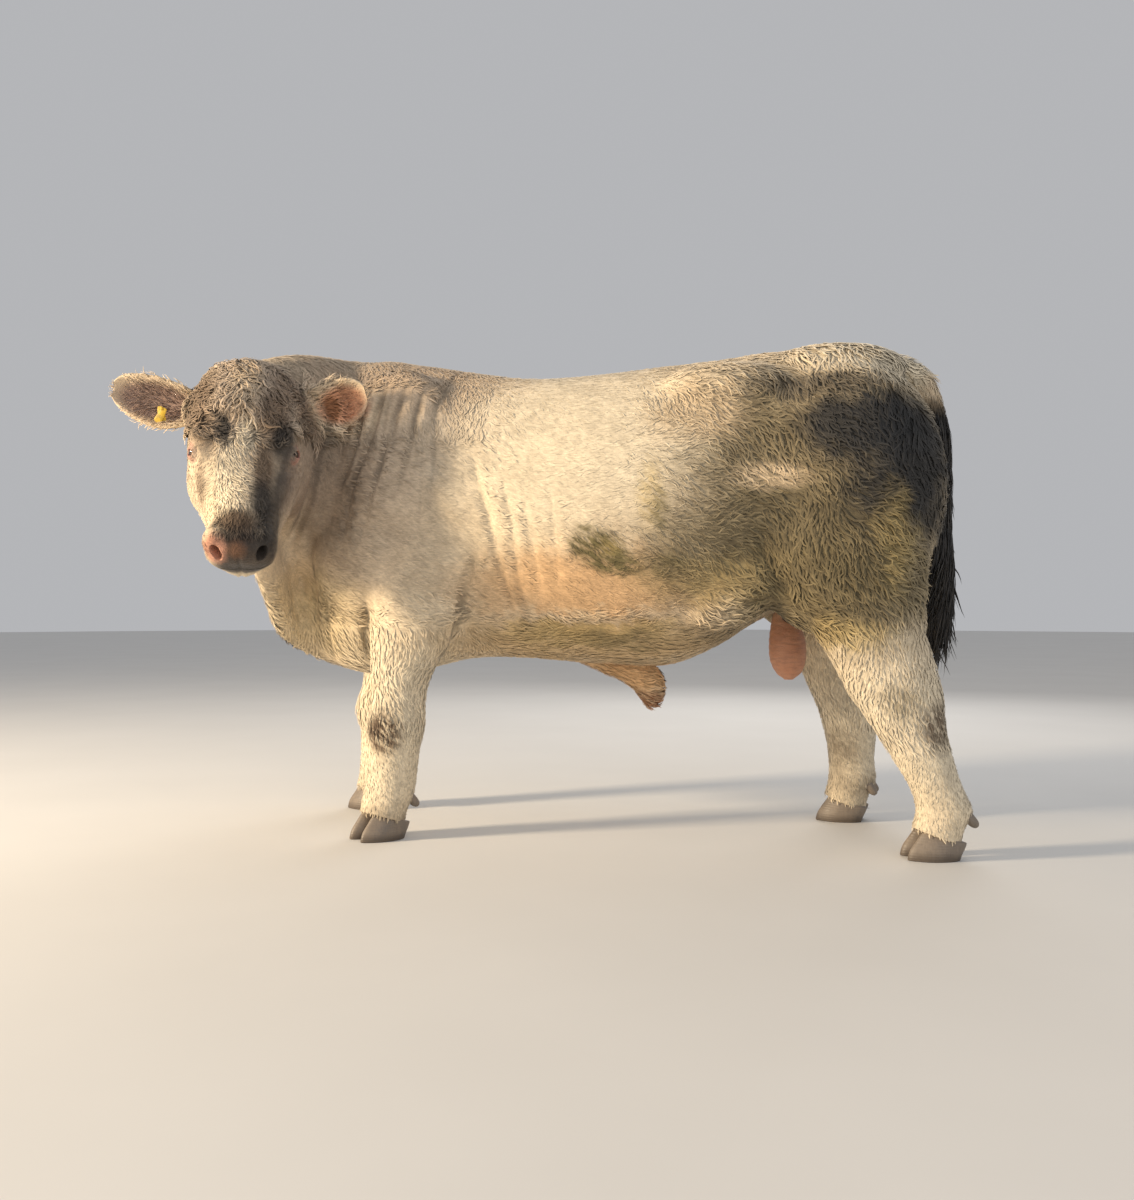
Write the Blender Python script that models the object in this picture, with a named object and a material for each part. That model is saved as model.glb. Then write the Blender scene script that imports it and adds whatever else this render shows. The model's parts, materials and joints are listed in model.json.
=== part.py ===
import math

import bmesh
import bpy
import numpy as np
from mathutils import Matrix, Vector
from mathutils.bvhtree import BVHTree

# Main sizes, in metres. The bull faces -X, its left side is -Y, the floor is z = 0.
WITHERS_HEIGHT = 1.45
LOIN_HEIGHT = 1.375
RUMP_HEIGHT = 1.428
CHEST_FLOOR = 0.47
BELLY_FLOOR = 0.495
SHOULDER_HALF = 0.335
BARREL_HALF = 0.395
RUMP_HALF = 0.345
HEAD_LENGTH = 0.585
HEAD_HALF = 0.162
EYE_RADIUS = 0.021
LID_THICK = 0.0048
EYE_SLIT = (0.0190, 0.0110, 0.0085)
GAP = 0.0003

# Curls on the forehead, and locks in the switch and at the sheath.
CLUMP_ROWS = 8
CLUMPS_ACROSS = 7
SWITCH_LOCKS = 15
SHEATH_LOCKS = 6
SWITCH_TIP = 0.47

# How fine the shared body is made before it is thinned out, and the triangles kept.
VOXEL = 0.008
HEAD_FACES = 2250
NECK_FACES = 720
TORSO_FACES = 2120
LEG_FACES = 425

# Directions of the body's own frame.
AFT = Vector((1, 0, 0))
ACROSS = Vector((0, 1, 0))
UPWARD = Vector((0, 0, 1))

# The head looks towards the left of the bull, nose down.
HEAD_TURN = math.radians(-70.0)
HEAD_PITCH = math.radians(60.0)
HEAD_TILT = math.radians(0.0)
POLL = Vector((-0.226, -0.480, 1.340))

# Each foot: centre of the coronet on the floor plan, and the way the toes point.
FEET = {
    "fore_left": ((0.105, -0.275), 228.0),
    "fore_right": ((-0.085, 0.225), 172.0),
    "hind_left": ((1.665, -0.285), 192.0),
    "hind_right": ((1.455, 0.265), 172.0),
}

COLOURS = {
    "coat": (0.72, 0.62, 0.48),
    "dark_hair": (0.05, 0.04, 0.035),
    "horn": (0.22, 0.19, 0.16),
    "eye": (0.03, 0.02, 0.015),
    "bare_skin": (0.55, 0.33, 0.27),
    "tag": (0.85, 0.62, 0.05),
}


# Materials


def material(name):
    found = bpy.data.materials.get(name)
    if found:
        return found
    made = bpy.data.materials.new(name)
    made.use_nodes = True
    shader = made.node_tree.nodes["Principled BSDF"]
    shader.inputs["Base Color"].default_value = (*COLOURS[name], 1.0)
    shader.inputs["Roughness"].default_value = 0.25 if name == "eye" else 0.75
    return made


def wear(body, name):
    own = material(name).copy()
    own.name = body.name + "_" + name
    body.data.materials.clear()
    body.data.materials.append(own)


# Making and joining closed meshes


def mesh_object(name, points, faces):
    mesh = bpy.data.meshes.new(name)
    mesh.from_pydata([tuple(p) for p in points], [], faces)
    body = bpy.data.objects.new(name, mesh)
    bpy.context.scene.collection.objects.link(body)
    face_outward(body)
    return body


def face_outward(body):
    work = bmesh.new()
    work.from_mesh(body.data)
    bmesh.ops.recalc_face_normals(work, faces=work.faces[:])
    if work.calc_volume(signed=True) < 0:
        bmesh.ops.reverse_faces(work, faces=work.faces[:])
    work.to_mesh(body.data)
    work.free()


def skin_rings(name, rings):
    """One closed tube through the rings, with a fan at each end."""
    rings = np.asarray(rings, float)
    rows, count = rings.shape[:2]
    points = list(rings.reshape(-1, 3))
    faces = []
    for row in range(rows - 1):
        for i in range(count):
            j = (i + 1) % count
            a = row * count
            b = a + count
            faces.append((a + i, a + j, b + j, b + i))
    for row in (0, rows - 1):
        centre = len(points)
        points.append(rings[row].mean(axis=0))
        start = row * count
        for i in range(count):
            faces.append((start + i, start + (i + 1) % count, centre))
    return mesh_object(name, points, faces)


def smooth_rows(rows, steps):
    """More rows between the given ones, on a smooth curve through all of them."""
    rows = np.asarray(rows, float)
    padded = np.vstack([2 * rows[0] - rows[1], rows, 2 * rows[-1] - rows[-2]])
    made = []
    for i in range(1, len(padded) - 2):
        before, start, end, after = padded[i - 1 : i + 3]
        for step in range(steps):
            t = step / steps
            bend = 2 * before - 5 * start + 4 * end - after
            twist = -before + 3 * start - 3 * end + after
            value = 2 * start + (end - before) * t + bend * t**2 + twist * t**3
            made.append(0.5 * value)
    made.append(rows[-1])
    return np.asarray(made)


def oval(centre, side, up, half, above, below, count=32, power=2.0, lean=0.0):
    """A ring round centre: half wide, above and below high, squarer for a higher power."""
    points = []
    shape = 2.0 / power
    for i in range(count):
        angle = 2 * math.pi * i / count
        c = math.copysign(abs(math.cos(angle)) ** shape, math.cos(angle))
        s = math.copysign(abs(math.sin(angle)) ** shape, math.sin(angle))
        wide = half * (1 + lean * s) * c
        high = (above if s > 0 else below) * s
        points.append(centre + side * wide + up * high)
    return points


def ball(centre, radii, turn=(0.0, 0.0, 0.0), level=3):
    """An ellipsoid, turned by degrees about x, y and z."""
    work = bmesh.new()
    bmesh.ops.create_icosphere(work, subdivisions=level, radius=1.0)
    mesh = bpy.data.meshes.new("ball")
    work.to_mesh(mesh)
    work.free()
    spin = Matrix.Rotation(math.radians(turn[2]), 4, "Z")
    spin @= Matrix.Rotation(math.radians(turn[1]), 4, "Y")
    spin @= Matrix.Rotation(math.radians(turn[0]), 4, "X")
    mesh.transform(Matrix.Translation(centre) @ spin @ Matrix.Diagonal((*radii, 1.0)))
    body = bpy.data.objects.new("ball", mesh)
    bpy.context.scene.collection.objects.link(body)
    return body


def box(name, low, high):
    corners = [(x, y, z) for x in (low[0], high[0]) for y in (low[1], high[1]) for z in (low[2], high[2])]
    faces = [(0, 1, 3, 2), (4, 6, 7, 5), (0, 4, 5, 1), (2, 3, 7, 6), (0, 2, 6, 4), (1, 5, 7, 3)]
    return mesh_object(name, corners, faces)


def drop(*bodies):
    for body in bodies:
        mesh = body.data
        bpy.data.objects.remove(body)
        bpy.data.meshes.remove(mesh)


def bake(body):
    """The object's modifiers become its mesh."""
    graph = bpy.context.evaluated_depsgraph_get()
    mesh = bpy.data.meshes.new_from_object(body.evaluated_get(graph))
    old = body.data
    body.modifiers.clear()
    body.data = mesh
    bpy.data.meshes.remove(old)


def copy_of(body, name):
    twin = bpy.data.objects.new(name, body.data.copy())
    bpy.context.scene.collection.objects.link(twin)
    return twin


def joined(name, bodies):
    """One object that holds the faces of all bodies, which may cross."""
    work = bmesh.new()
    for body in bodies:
        work.from_mesh(body.data)
    mesh = bpy.data.meshes.new(name)
    work.to_mesh(mesh)
    work.free()
    drop(*bodies)
    made = bpy.data.objects.new(name, mesh)
    bpy.context.scene.collection.objects.link(made)
    return made


def boolean(body, cutter, operation, solver="MANIFOLD"):
    step = body.modifiers.new("cut", "BOOLEAN")
    step.operation = operation
    step.solver = solver
    step.object = cutter
    bake(body)


def fuse(body, pieces):
    """Joins closed pieces to the body in one union."""
    group = bpy.data.collections.new("pieces")
    bpy.context.scene.collection.children.link(group)
    for piece in pieces:
        group.objects.link(piece)
    step = body.modifiers.new("fuse", "BOOLEAN")
    step.operation = "UNION"
    step.solver = "MANIFOLD"
    step.operand_type = "COLLECTION"
    step.collection = group
    bake(body)
    drop(*pieces)
    bpy.data.collections.remove(group)


def grown(body, name, distance):
    """A copy with its surface moved out by a small distance."""
    twin = copy_of(body, name)
    mesh = twin.data
    count = len(mesh.vertices)
    places = np.empty(count * 3)
    mesh.vertices.foreach_get("co", places)
    normals = np.array([v.normal[:] for v in mesh.vertices]).ravel()
    mesh.vertices.foreach_set("co", places + normals * distance)
    mesh.update()
    return twin


def clear_of(body, others):
    """Cuts the body back so that the small gap is left to the others."""
    for other in others:
        cutter = grown(other, "cutter", GAP)
        boolean(body, cutter, "DIFFERENCE")
        drop(cutter)


def keep_largest(body):
    """Keeps the largest closed surface and welds points that all but touch."""
    work = bmesh.new()
    work.from_mesh(body.data)
    bmesh.ops.remove_doubles(work, verts=work.verts[:], dist=0.00002)
    bmesh.ops.dissolve_degenerate(work, dist=0.00001, edges=work.edges[:])
    bmesh.ops.triangulate(work, faces=work.faces[:])
    left = set(work.faces)
    shells = []
    while left:
        first = left.pop()
        shell = [first]
        queue = [first]
        while queue:
            face = queue.pop()
            for edge in face.edges:
                for other in edge.link_faces:
                    if other in left:
                        left.remove(other)
                        shell.append(other)
                        queue.append(other)
        shells.append(shell)
    shells.sort(key=lambda faces: sum(f.calc_area() for f in faces))
    spare = [f for shell in shells[:-1] for f in shell]
    bmesh.ops.delete(work, geom=spare, context="FACES")
    work.to_mesh(body.data)
    work.free()
    for polygon in body.data.polygons:
        polygon.use_smooth = True


# The torso, as stations from the brisket back to the buttocks


def torso_form():
    top = WITHERS_HEIGHT
    stations = [
        # x, top, widest level, floor, half width, squareness
        (-0.225, 1.00, 0.80, 0.63, 0.10, 2.0),
        (-0.18, 1.20, 0.85, 0.54, 0.19, 2.0),
        (-0.09, top - 0.045, 0.90, CHEST_FLOOR + 0.005, 0.275, 2.1),
        (0.02, top - 0.004, 0.92, CHEST_FLOOR - 0.01, SHOULDER_HALF - 0.01, 2.2),
        (0.16, top - 0.022, 0.92, CHEST_FLOOR + 0.01, SHOULDER_HALF, 2.2),
        (0.32, top - 0.05, 0.92, CHEST_FLOOR + 0.045, SHOULDER_HALF + 0.015, 2.2),
        (0.50, LOIN_HEIGHT, 0.92, BELLY_FLOOR + 0.02, BARREL_HALF - 0.02, 2.2),
        (0.70, LOIN_HEIGHT + 0.005, 0.90, BELLY_FLOOR + 0.005, BARREL_HALF, 2.2),
        (0.90, LOIN_HEIGHT + 0.022, 0.91, BELLY_FLOOR, BARREL_HALF - 0.005, 2.2),
        (1.06, RUMP_HEIGHT - 0.022, 0.94, BELLY_FLOOR + 0.06, BARREL_HALF - 0.025, 2.3),
        (1.20, RUMP_HEIGHT - 0.006, 0.99, BELLY_FLOOR + 0.15, RUMP_HALF, 2.4),
        (1.36, RUMP_HEIGHT, 1.03, 0.70, RUMP_HALF - 0.005, 2.4),
        (1.48, RUMP_HEIGHT - 0.018, 1.04, 0.73, RUMP_HALF - 0.02, 2.3),
        (1.575, RUMP_HEIGHT - 0.065, 1.05, 0.78, RUMP_HALF - 0.065, 2.2),
        (1.645, RUMP_HEIGHT - 0.17, 1.06, 0.88, RUMP_HALF - 0.14, 2.1),
        (1.668, RUMP_HEIGHT - 0.26, 1.06, 0.95, 0.10, 2.0),
    ]
    rings = []
    for x, high, wide, low, half, power in smooth_rows(stations, 4):
        centre = Vector((x, 0, wide))
        above, below = high - wide, wide - low
        rings.append(oval(centre, ACROSS, UPWARD, half, above, below, 48, power))
    return skin_rings("torso_form", rings)


def muscle_forms():
    """Shoulders, arms, haunches, hips, brisket and the flank folds."""
    made = []
    for side in (-1, 1):
        ahead = 0.0 if side < 0 else -0.10
        back = 0.10 if side < 0 else -0.06
        made += [
            ball((0.11 + ahead, 0.215 * side, 1.05), (0.23, 0.140, 0.34), (0, 10, 0)),
            ball((0.05 + ahead, 0.225 * side, 0.82), (0.19, 0.130, 0.20), (0, -18, 0)),
            ball((0.24 + ahead, 0.245 * side, 0.80), (0.18, 0.110, 0.19), (0, 30, 0)),
            ball((1.40 + 0.3 * back, 0.190 * side, 1.03), (0.275, 0.180, 0.36), (0, -6, 0)),
            ball((1.34 + 0.4 * back, 0.235 * side, 0.82), (0.23, 0.128, 0.22), (0, 14, 0)),
            ball((1.10, 0.195 * side, 1.285), (0.22, 0.130, 0.085), (0, 0, 0)),
            ball((1.13, 0.255 * side, 0.745), (0.20, 0.090, 0.11), (0, -32, 0)),
        ]
    made += [
        ball((-0.055, 0.0, 0.645), (0.195, 0.180, 0.175), (0, 14, 0)),
        ball((1.40, 0.11, 1.365), (0.20, 0.14, 0.062), (0, 0, 0)),
        ball((1.40, -0.11, 1.365), (0.20, 0.14, 0.062), (0, 0, 0)),
    ]
    return made


# The neck, bent to the left, with its crest, and the dewlap below


def path_rings(rows, count=36, power=2.0, lean=0.0):
    """Rings across a curved path: x, y, z, half width, height above, height below."""
    rows = np.asarray(rows, float)
    ways = np.gradient(rows[:, :3], axis=0)
    rings = []
    for row, way in zip(rows, ways):
        along = Vector(way).normalized()
        side = along.cross(Vector((0, 0, 1))).normalized()
        up = side.cross(along)
        rings.append(oval(Vector(row[:3]), side, up, row[3], row[4], row[5], count, power, lean))
    return rings


def neck_form():
    stations = [
        (0.16, 0.02, 1.02, 0.27, 0.40, 0.42),
        (-0.02, -0.02, 1.05, 0.26, 0.405, 0.40),
        (-0.145, -0.10, 1.09, 0.230, 0.370, 0.34),
        (-0.215, -0.22, 1.12, 0.215, 0.330, 0.29),
        (-0.240, -0.34, 1.13, 0.200, 0.268, 0.25),
        (-0.235, -0.46, 1.12, 0.175, 0.215, 0.20),
        (-0.220, -0.56, 1.09, 0.120, 0.16, 0.14),
    ]
    return skin_rings("neck_form", path_rings(smooth_rows(stations, 4), 40, 2.1, -0.12))


def dewlap_form():
    stations = [
        (-0.195, -0.52, 0.93, 0.045, 0.08, 0.07),
        (-0.215, -0.42, 0.87, 0.042, 0.10, 0.09),
        (-0.235, -0.28, 0.79, 0.042, 0.11, 0.11),
        (-0.235, -0.15, 0.70, 0.045, 0.12, 0.12),
        (-0.170, -0.06, 0.61, 0.055, 0.12, 0.10),
        (-0.050, -0.02, 0.555, 0.070, 0.10, 0.085),
        (0.10, 0.00, 0.54, 0.080, 0.07, 0.06),
    ]
    return skin_rings("dewlap_form", path_rings(smooth_rows(stations, 4), 24))


# Locks and clumps of hair, closed and tapered, with the root sunk in


def lock(root, normal, lie, length, half, thick, rise, curl, sides=6):
    """A flat lock that leaves the skin, lies along it and bends aside towards its tip."""
    lie = (lie - normal * lie.dot(normal)).normalized()
    side = lie.cross(normal)
    spine = []
    for share in (0.0, 0.30, 0.68, 1.0):
        lift = rise * math.sin(math.pi * (0.10 + 0.70 * share)) - thick * (1 - share)
        spine.append(root + lie * length * share + side * curl * share**2 + normal * lift)
    rings = []
    for i, size in enumerate((0.78, 1.0, 0.84, 0.26)):
        way = (spine[min(i + 1, 3)] - spine[max(i - 1, 0)]).normalized()
        across = way.cross(normal).normalized()
        up = across.cross(way)
        rings.append(oval(spine[i], across, up, half * size, thick * size, thick * size, sides))
    return skin_rings("lock", rings)


# The head, in its own frame: a runs from poll to nose, b is out of the face, s is the left


def head_axes():
    facing = Vector((math.cos(HEAD_TURN), math.sin(HEAD_TURN), 0))
    left = Vector((0, 0, 1)).cross(facing)
    along = facing * math.cos(HEAD_PITCH) - Vector((0, 0, 1)) * math.sin(HEAD_PITCH)
    out = facing * math.sin(HEAD_PITCH) + Vector((0, 0, 1)) * math.cos(HEAD_PITCH)
    tilt = Matrix.Rotation(HEAD_TILT, 3, facing)
    return tilt @ along, tilt @ out, tilt @ left


def at_head(a, b, s):
    along, out, left = head_axes()
    return POLL + along * a + out * b + left * s


def head_ball(a, b, s, radii, level=3):
    """An ellipsoid in the head's frame, with its radii along a, b and s."""
    along, out, left = head_axes()
    work = bmesh.new()
    bmesh.ops.create_icosphere(work, subdivisions=level, radius=1.0)
    mesh = bpy.data.meshes.new("ball")
    work.to_mesh(mesh)
    work.free()
    axes = Matrix((along * radii[0], out * radii[1], left * radii[2])).transposed()
    mesh.transform(Matrix.Translation(at_head(a, b, s)) @ axes.to_4x4())
    body = bpy.data.objects.new("ball", mesh)
    bpy.context.scene.collection.objects.link(body)
    face_outward(body)
    return body


def head_form():
    half = HEAD_HALF
    stations = [
        # a, face line, jaw line, half width, lean towards the face side
        (-0.035, -0.05, -0.18, 0.60 * half, 0.00),
        (0.00, -0.005, -0.24, 0.82 * half, 0.00),
        (0.06, 0.015, -0.28, 0.97 * half, 0.04),
        (0.14, 0.018, -0.305, half, 0.06),
        (0.22, 0.008, -0.315, half, 0.06),
        (0.29, -0.006, -0.300, 0.95 * half, 0.04),
        (0.355, -0.016, -0.262, 0.80 * half, -0.08),
        (0.415, -0.022, -0.235, 0.68 * half, -0.12),
        (0.470, -0.024, -0.212, 0.60 * half, -0.08),
        (0.522, -0.026, -0.195, 0.60 * half, 0.02),
        (0.562, -0.040, -0.170, 0.53 * half, 0.04),
        (HEAD_LENGTH, -0.066, -0.142, 0.36 * half, 0.00),
    ]
    along, out, left = head_axes()
    rings = []
    for a, face, jaw, wide, lean in smooth_rows(stations, 4):
        middle = face + 0.42 * (jaw - face)
        centre = at_head(a, middle, 0)
        rings.append(oval(centre, left, out, wide, face - middle, middle - jaw, 36, 2.25, lean))
    return skin_rings("head_form", rings)


def head_masses():
    """Forehead, brows, cheeks, nose pad, lips and chin."""
    made = [
        head_ball(0.085, -0.045, 0.0, (0.165, 0.066, 0.135)),
        head_ball(0.37, -0.045, 0.0, (0.17, 0.034, 0.060)),
        head_ball(0.545, -0.082, 0.0, (0.046, 0.056, 0.088)),
        head_ball(0.530, -0.160, 0.0, (0.052, 0.034, 0.060)),
    ]
    for side in (-1, 1):
        made += [
            head_ball(0.205, -0.036, 0.100 * side, (0.080, 0.036, 0.044)),
            head_ball(0.318, -0.086, 0.092 * side, (0.085, 0.050, 0.040)),
            head_ball(0.240, -0.195, 0.104 * side, (0.115, 0.105, 0.068)),
            head_ball(0.258, -0.052, 0.106 * side, (0.052, 0.040, 0.033)),
            head_ball(0.360, -0.120, 0.084 * side, (0.085, 0.045, 0.032)),
            head_ball(0.525, -0.064, 0.058 * side, (0.048, 0.042, 0.042)),
            head_ball(0.505, -0.124, 0.056 * side, (0.070, 0.038, 0.046)),
            head_ball(0.085, -0.085, 0.138 * side, (0.050, 0.045, 0.036)),
        ]
    return made


def forehead_clumps(body):
    """Curly clumps in rows from the poll down to between the eyes, parted in the middle."""
    draw = np.random.default_rng(7)
    along, out, left = head_axes()
    tree = BVHTree.FromObject(body, bpy.context.evaluated_depsgraph_get())
    made = []
    for row in range(CLUMP_ROWS):
        a = -0.045 + 0.250 * row / (CLUMP_ROWS - 1)
        reach = 0.136 - 0.30 * max(0.0, a - 0.05)
        count = CLUMPS_ACROSS - row // 3
        for i in range(count):
            share = (i + 0.5 + 0.5 * (row % 2) - 0.25) / count * 2 - 1
            s = reach * share + draw.uniform(-0.005, 0.005)
            start = at_head(a + draw.uniform(-0.008, 0.008), 0.25, s)
            spot, normal, index, distance = tree.ray_cast(start, -out)
            if spot is None:
                continue
            lie = along + left * (0.8 * share + draw.uniform(-0.55, 0.55))
            curl = draw.uniform(0.008, 0.024) * draw.choice((-1, 1))
            length = draw.uniform(0.044, 0.056)
            half = draw.uniform(0.0165, 0.0205)
            made.append(lock(spot, normal, lie, length, half, 0.0105, 0.012, curl, 5))
    return made


def nostril(side):
    """A comma-shaped hollow at the side of the nose pad."""
    along, out, left = head_axes()
    marks = [
        # a, b, s and half width, from the deep end out
        (0.510, -0.074, 0.050, 0.011),
        (0.550, -0.062, 0.056, 0.0165),
        (0.590, -0.052, 0.064, 0.0205),
        (0.625, -0.046, 0.073, 0.0215),
    ]
    rings = []
    for a, b, s, size in marks:
        tall = (out + left * side * 0.55).normalized()
        wide = tall.cross(along).normalized()
        rings.append(oval(at_head(a, b, s * side), wide, tall, size * 0.80, size * 1.25, size * 1.45, 12))
    return skin_rings("nostril", rings)


def mouth_line():
    """A wedge sunk into the muzzle from one corner of the mouth round to the other."""
    along, out, left = head_axes()
    count = 19
    rings = []
    for i in range(count):
        turn = math.radians(-112 + 224 * i / (count - 1))
        back = 0.102 * math.cos(turn)
        wide = 0.102 * math.sin(turn)
        rise = -0.128 + 0.010 * math.cos(turn)
        ring = []
        for reach, thick in ((1.25, 0.0055), (1.25, -0.0055), (0.86, -0.0004), (0.86, 0.0004)):
            ring.append(at_head(0.492 + back * reach, rise + thick, wide * reach))
        rings.append(ring)
    return skin_rings("mouth_line", rings)


EYE_PLACE = (0.256, -0.050, 0.1250)


def eye_axes(side):
    """Centre of the eye, and its forward, upward and outward ways."""
    along, out, left = head_axes()
    forward = (along * 0.62 + out * 0.78).normalized()
    outward = (left * side * 0.90 + forward * 0.40 + out * 0.06).normalized()
    upward = outward.cross(forward).normalized()
    if upward.dot(out - along) < 0:
        upward = -upward
    forward = upward.cross(outward).normalized()
    if forward.dot(along) < 0:
        forward = -forward
    a, b, s = EYE_PLACE
    return at_head(a, b, s * side), forward, upward, outward


def eye(side):
    a, b, s = EYE_PLACE
    body = head_ball(a, b, s * side, (EYE_RADIUS, EYE_RADIUS, EYE_RADIUS), 3)
    body.name = "eye_left" if side > 0 else "eye_right"
    return body


def lids(side):
    """A ball of skin round the eyeball, which the opening is then cut into."""
    a, b, s = EYE_PLACE
    size = EYE_RADIUS + LID_THICK
    return head_ball(a, b, s * side, (size * 1.10, size, size), 3)


def eye_opening(side):
    """An almond-shaped wedge between the lids, out from the eyeball."""
    centre, forward, upward, outward = eye_axes(side)
    rings = []
    for share, reach in ((1.0, 0.3), (1.0, 0.8), (1.15, 1.5), (1.6, 2.4)):
        middle = centre + outward * EYE_RADIUS * reach
        long, above, below = (size * share for size in EYE_SLIT)
        rings.append(oval(middle, forward, upward, long, above, below, 14, 1.55))
    return skin_rings("eye_opening", rings)


# The legs, as level slices: x, y, z, half length fore and aft, half width


def leg_form(name, slices):
    rings = []
    for x, y, z, long, wide in smooth_rows(slices, 4):
        rings.append(oval(Vector((x, y, z)), ACROSS, AFT, wide, long, long, 28, 2.1))
    return skin_rings(name, rings)


def turned(slices, foot):
    """The last slices under the knee or hock follow the foot, which may be turned out."""
    (fx, fy), degrees = FEET[foot]
    way = Vector((math.cos(math.radians(degrees)), math.sin(math.radians(degrees))))
    return slices + [
        (fx - 0.018 * way.x, fy - 0.018 * way.y, 0.128, 0.078, 0.076),
        (fx + 0.000 * way.x, fy + 0.000 * way.y, 0.080, 0.072, 0.074),
        (fx + 0.010 * way.x, fy + 0.010 * way.y, 0.020, 0.070, 0.074),
    ]


def fore_left_form():
    return leg_form("fore_left", turned([
        (0.20, -0.250, 0.90, 0.17, 0.085),
        (0.225, -0.262, 0.74, 0.165, 0.100),
        (0.205, -0.268, 0.62, 0.140, 0.100),
        (0.165, -0.266, 0.51, 0.100, 0.085),
        (0.150, -0.262, 0.42, 0.080, 0.078),
        (0.138, -0.262, 0.335, 0.088, 0.084),
        (0.136, -0.264, 0.255, 0.076, 0.074),
    ], "fore_left"))


def fore_right_form():
    return leg_form("fore_right", turned([
        (0.06, 0.235, 0.90, 0.17, 0.085),
        (0.05, 0.242, 0.74, 0.165, 0.100),
        (0.02, 0.240, 0.62, 0.140, 0.100),
        (-0.03, 0.235, 0.51, 0.100, 0.085),
        (-0.055, 0.230, 0.42, 0.080, 0.078),
        (-0.072, 0.228, 0.335, 0.088, 0.084),
        (-0.070, 0.228, 0.255, 0.074, 0.072),
    ], "fore_right"))


def hind_left_form():
    return leg_form("hind_left", turned([
        (1.43, -0.235, 0.93, 0.23, 0.13),
        (1.43, -0.255, 0.76, 0.215, 0.130),
        (1.475, -0.268, 0.63, 0.160, 0.112),
        (1.520, -0.275, 0.53, 0.140, 0.092),
        (1.555, -0.278, 0.44, 0.128, 0.082),
        (1.590, -0.280, 0.35, 0.100, 0.078),
        (1.628, -0.282, 0.26, 0.084, 0.072),
        (1.660, -0.284, 0.19, 0.074, 0.070),
    ], "hind_left"))


def hind_right_form():
    return leg_form("hind_right", turned([
        (1.38, 0.235, 0.93, 0.23, 0.13),
        (1.36, 0.255, 0.76, 0.215, 0.130),
        (1.395, 0.265, 0.63, 0.160, 0.112),
        (1.430, 0.266, 0.53, 0.140, 0.092),
        (1.450, 0.266, 0.44, 0.125, 0.082),
        (1.462, 0.266, 0.35, 0.098, 0.078),
        (1.468, 0.266, 0.26, 0.082, 0.072),
        (1.470, 0.266, 0.19, 0.074, 0.070),
    ], "hind_right"))


# The shared body: all forms run together, smoothed and thinned out region by region


def positions(body):
    places = np.empty(len(body.data.vertices) * 3)
    body.data.vertices.foreach_get("co", places)
    return places.reshape(-1, 3)


def head_plane():
    """A point on the cut behind the jaw and poll, and the direction towards the head."""
    along, out, left = head_axes()
    start = at_head(-0.045, 0.0, 0.0)
    down = (along * 0.40 - out * 0.917).normalized()
    towards = left.cross(down)
    if towards.dot(along) < 0:
        towards = -towards
    return start, towards, down, left


def neck_plane():
    """A point on the cut before the shoulders, and the direction towards the neck."""
    return Vector((-0.085, 0.0, 1.45)), Vector((-1.0, -0.36, 0.141)).normalized()


def in_regions(places):
    """Which region each point belongs to: head, neck, torso or legs."""
    start, towards, down, left = head_plane()
    moved = places - np.array(start)
    ahead = moved @ np.array(towards)
    below = moved @ np.array(down)
    across = np.abs(moved @ np.array(left))
    head = (ahead > 0) & (below < 0.53) & (across < 0.21)
    point, normal = neck_plane()
    neck = ((places - np.array(point)) @ np.array(normal) > 0) & ~head
    legs = (places[:, 2] < 0.66) & (np.abs(places[:, 1]) > 0.10) & ~head & ~neck
    belly = (places[:, 0] > 0.40) & (places[:, 0] < 1.12)
    legs &= ~belly
    torso = ~(head | neck | legs)
    return {"head": head, "neck": neck, "torso": torso, "legs": legs}


def thin_out(body, name, kept):
    """Collapses the named region to about this many triangles, and no other."""
    chosen = in_regions(positions(body))[name]
    group = body.vertex_groups.new(name=name)
    group.add([int(i) for i in np.nonzero(chosen)[0]], 1.0, "REPLACE")
    inside = 0
    for polygon in body.data.polygons:
        if any(chosen[v] for v in polygon.vertices):
            inside += 1
    total = len(body.data.polygons)
    step = body.modifiers.new("thin", "DECIMATE")
    step.vertex_group = name
    step.ratio = (total - inside + kept) / total
    bake(body)
    body.vertex_groups.clear()


def soften(body, name, rounds):
    chosen = in_regions(positions(body))[name]
    group = body.vertex_groups.new(name=name)
    group.add([int(i) for i in np.nonzero(chosen)[0]], 1.0, "REPLACE")
    step = body.modifiers.new("soften", "SMOOTH")
    step.vertex_group = name
    step.factor = 0.6
    step.iterations = rounds
    bake(body)
    body.vertex_groups.clear()


def whole_body():
    forms = [torso_form(), neck_form(), dewlap_form(), head_form()]
    forms += muscle_forms() + head_masses()
    forms += [fore_left_form(), fore_right_form(), hind_left_form(), hind_right_form()]
    body = joined("body", forms)
    step = body.modifiers.new("run together", "REMESH")
    step.mode = "VOXEL"
    step.voxel_size = VOXEL
    bake(body)
    soften(body, "torso", 60)
    soften(body, "neck", 50)
    soften(body, "legs", 10)
    soften(body, "head", 12)
    work = bmesh.new()
    work.from_mesh(body.data)
    bmesh.ops.triangulate(work, faces=work.faces[:])
    work.to_mesh(body.data)
    work.free()
    thin_out(body, "torso", TORSO_FACES)
    thin_out(body, "neck", NECK_FACES)
    thin_out(body, "legs", 4 * LEG_FACES)
    thin_out(body, "head", HEAD_FACES)
    keep_largest(body)
    return body


# Parting the body with thin cuts


def slab(name, point, normal, down, left, depth, low, high, half):
    """A box on a plane: depth long along normal, low to high along down, half to each side."""
    corners = []
    for n in (0.0, depth):
        for d in (low, high):
            for s in (-half, half):
                corners.append(point + normal * n + down * d + left * s)
    faces = [(0, 1, 3, 2), (4, 6, 7, 5), (0, 4, 5, 1), (2, 3, 7, 6), (0, 2, 6, 4), (1, 5, 7, 3)]
    return mesh_object(name, corners, faces)


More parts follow.
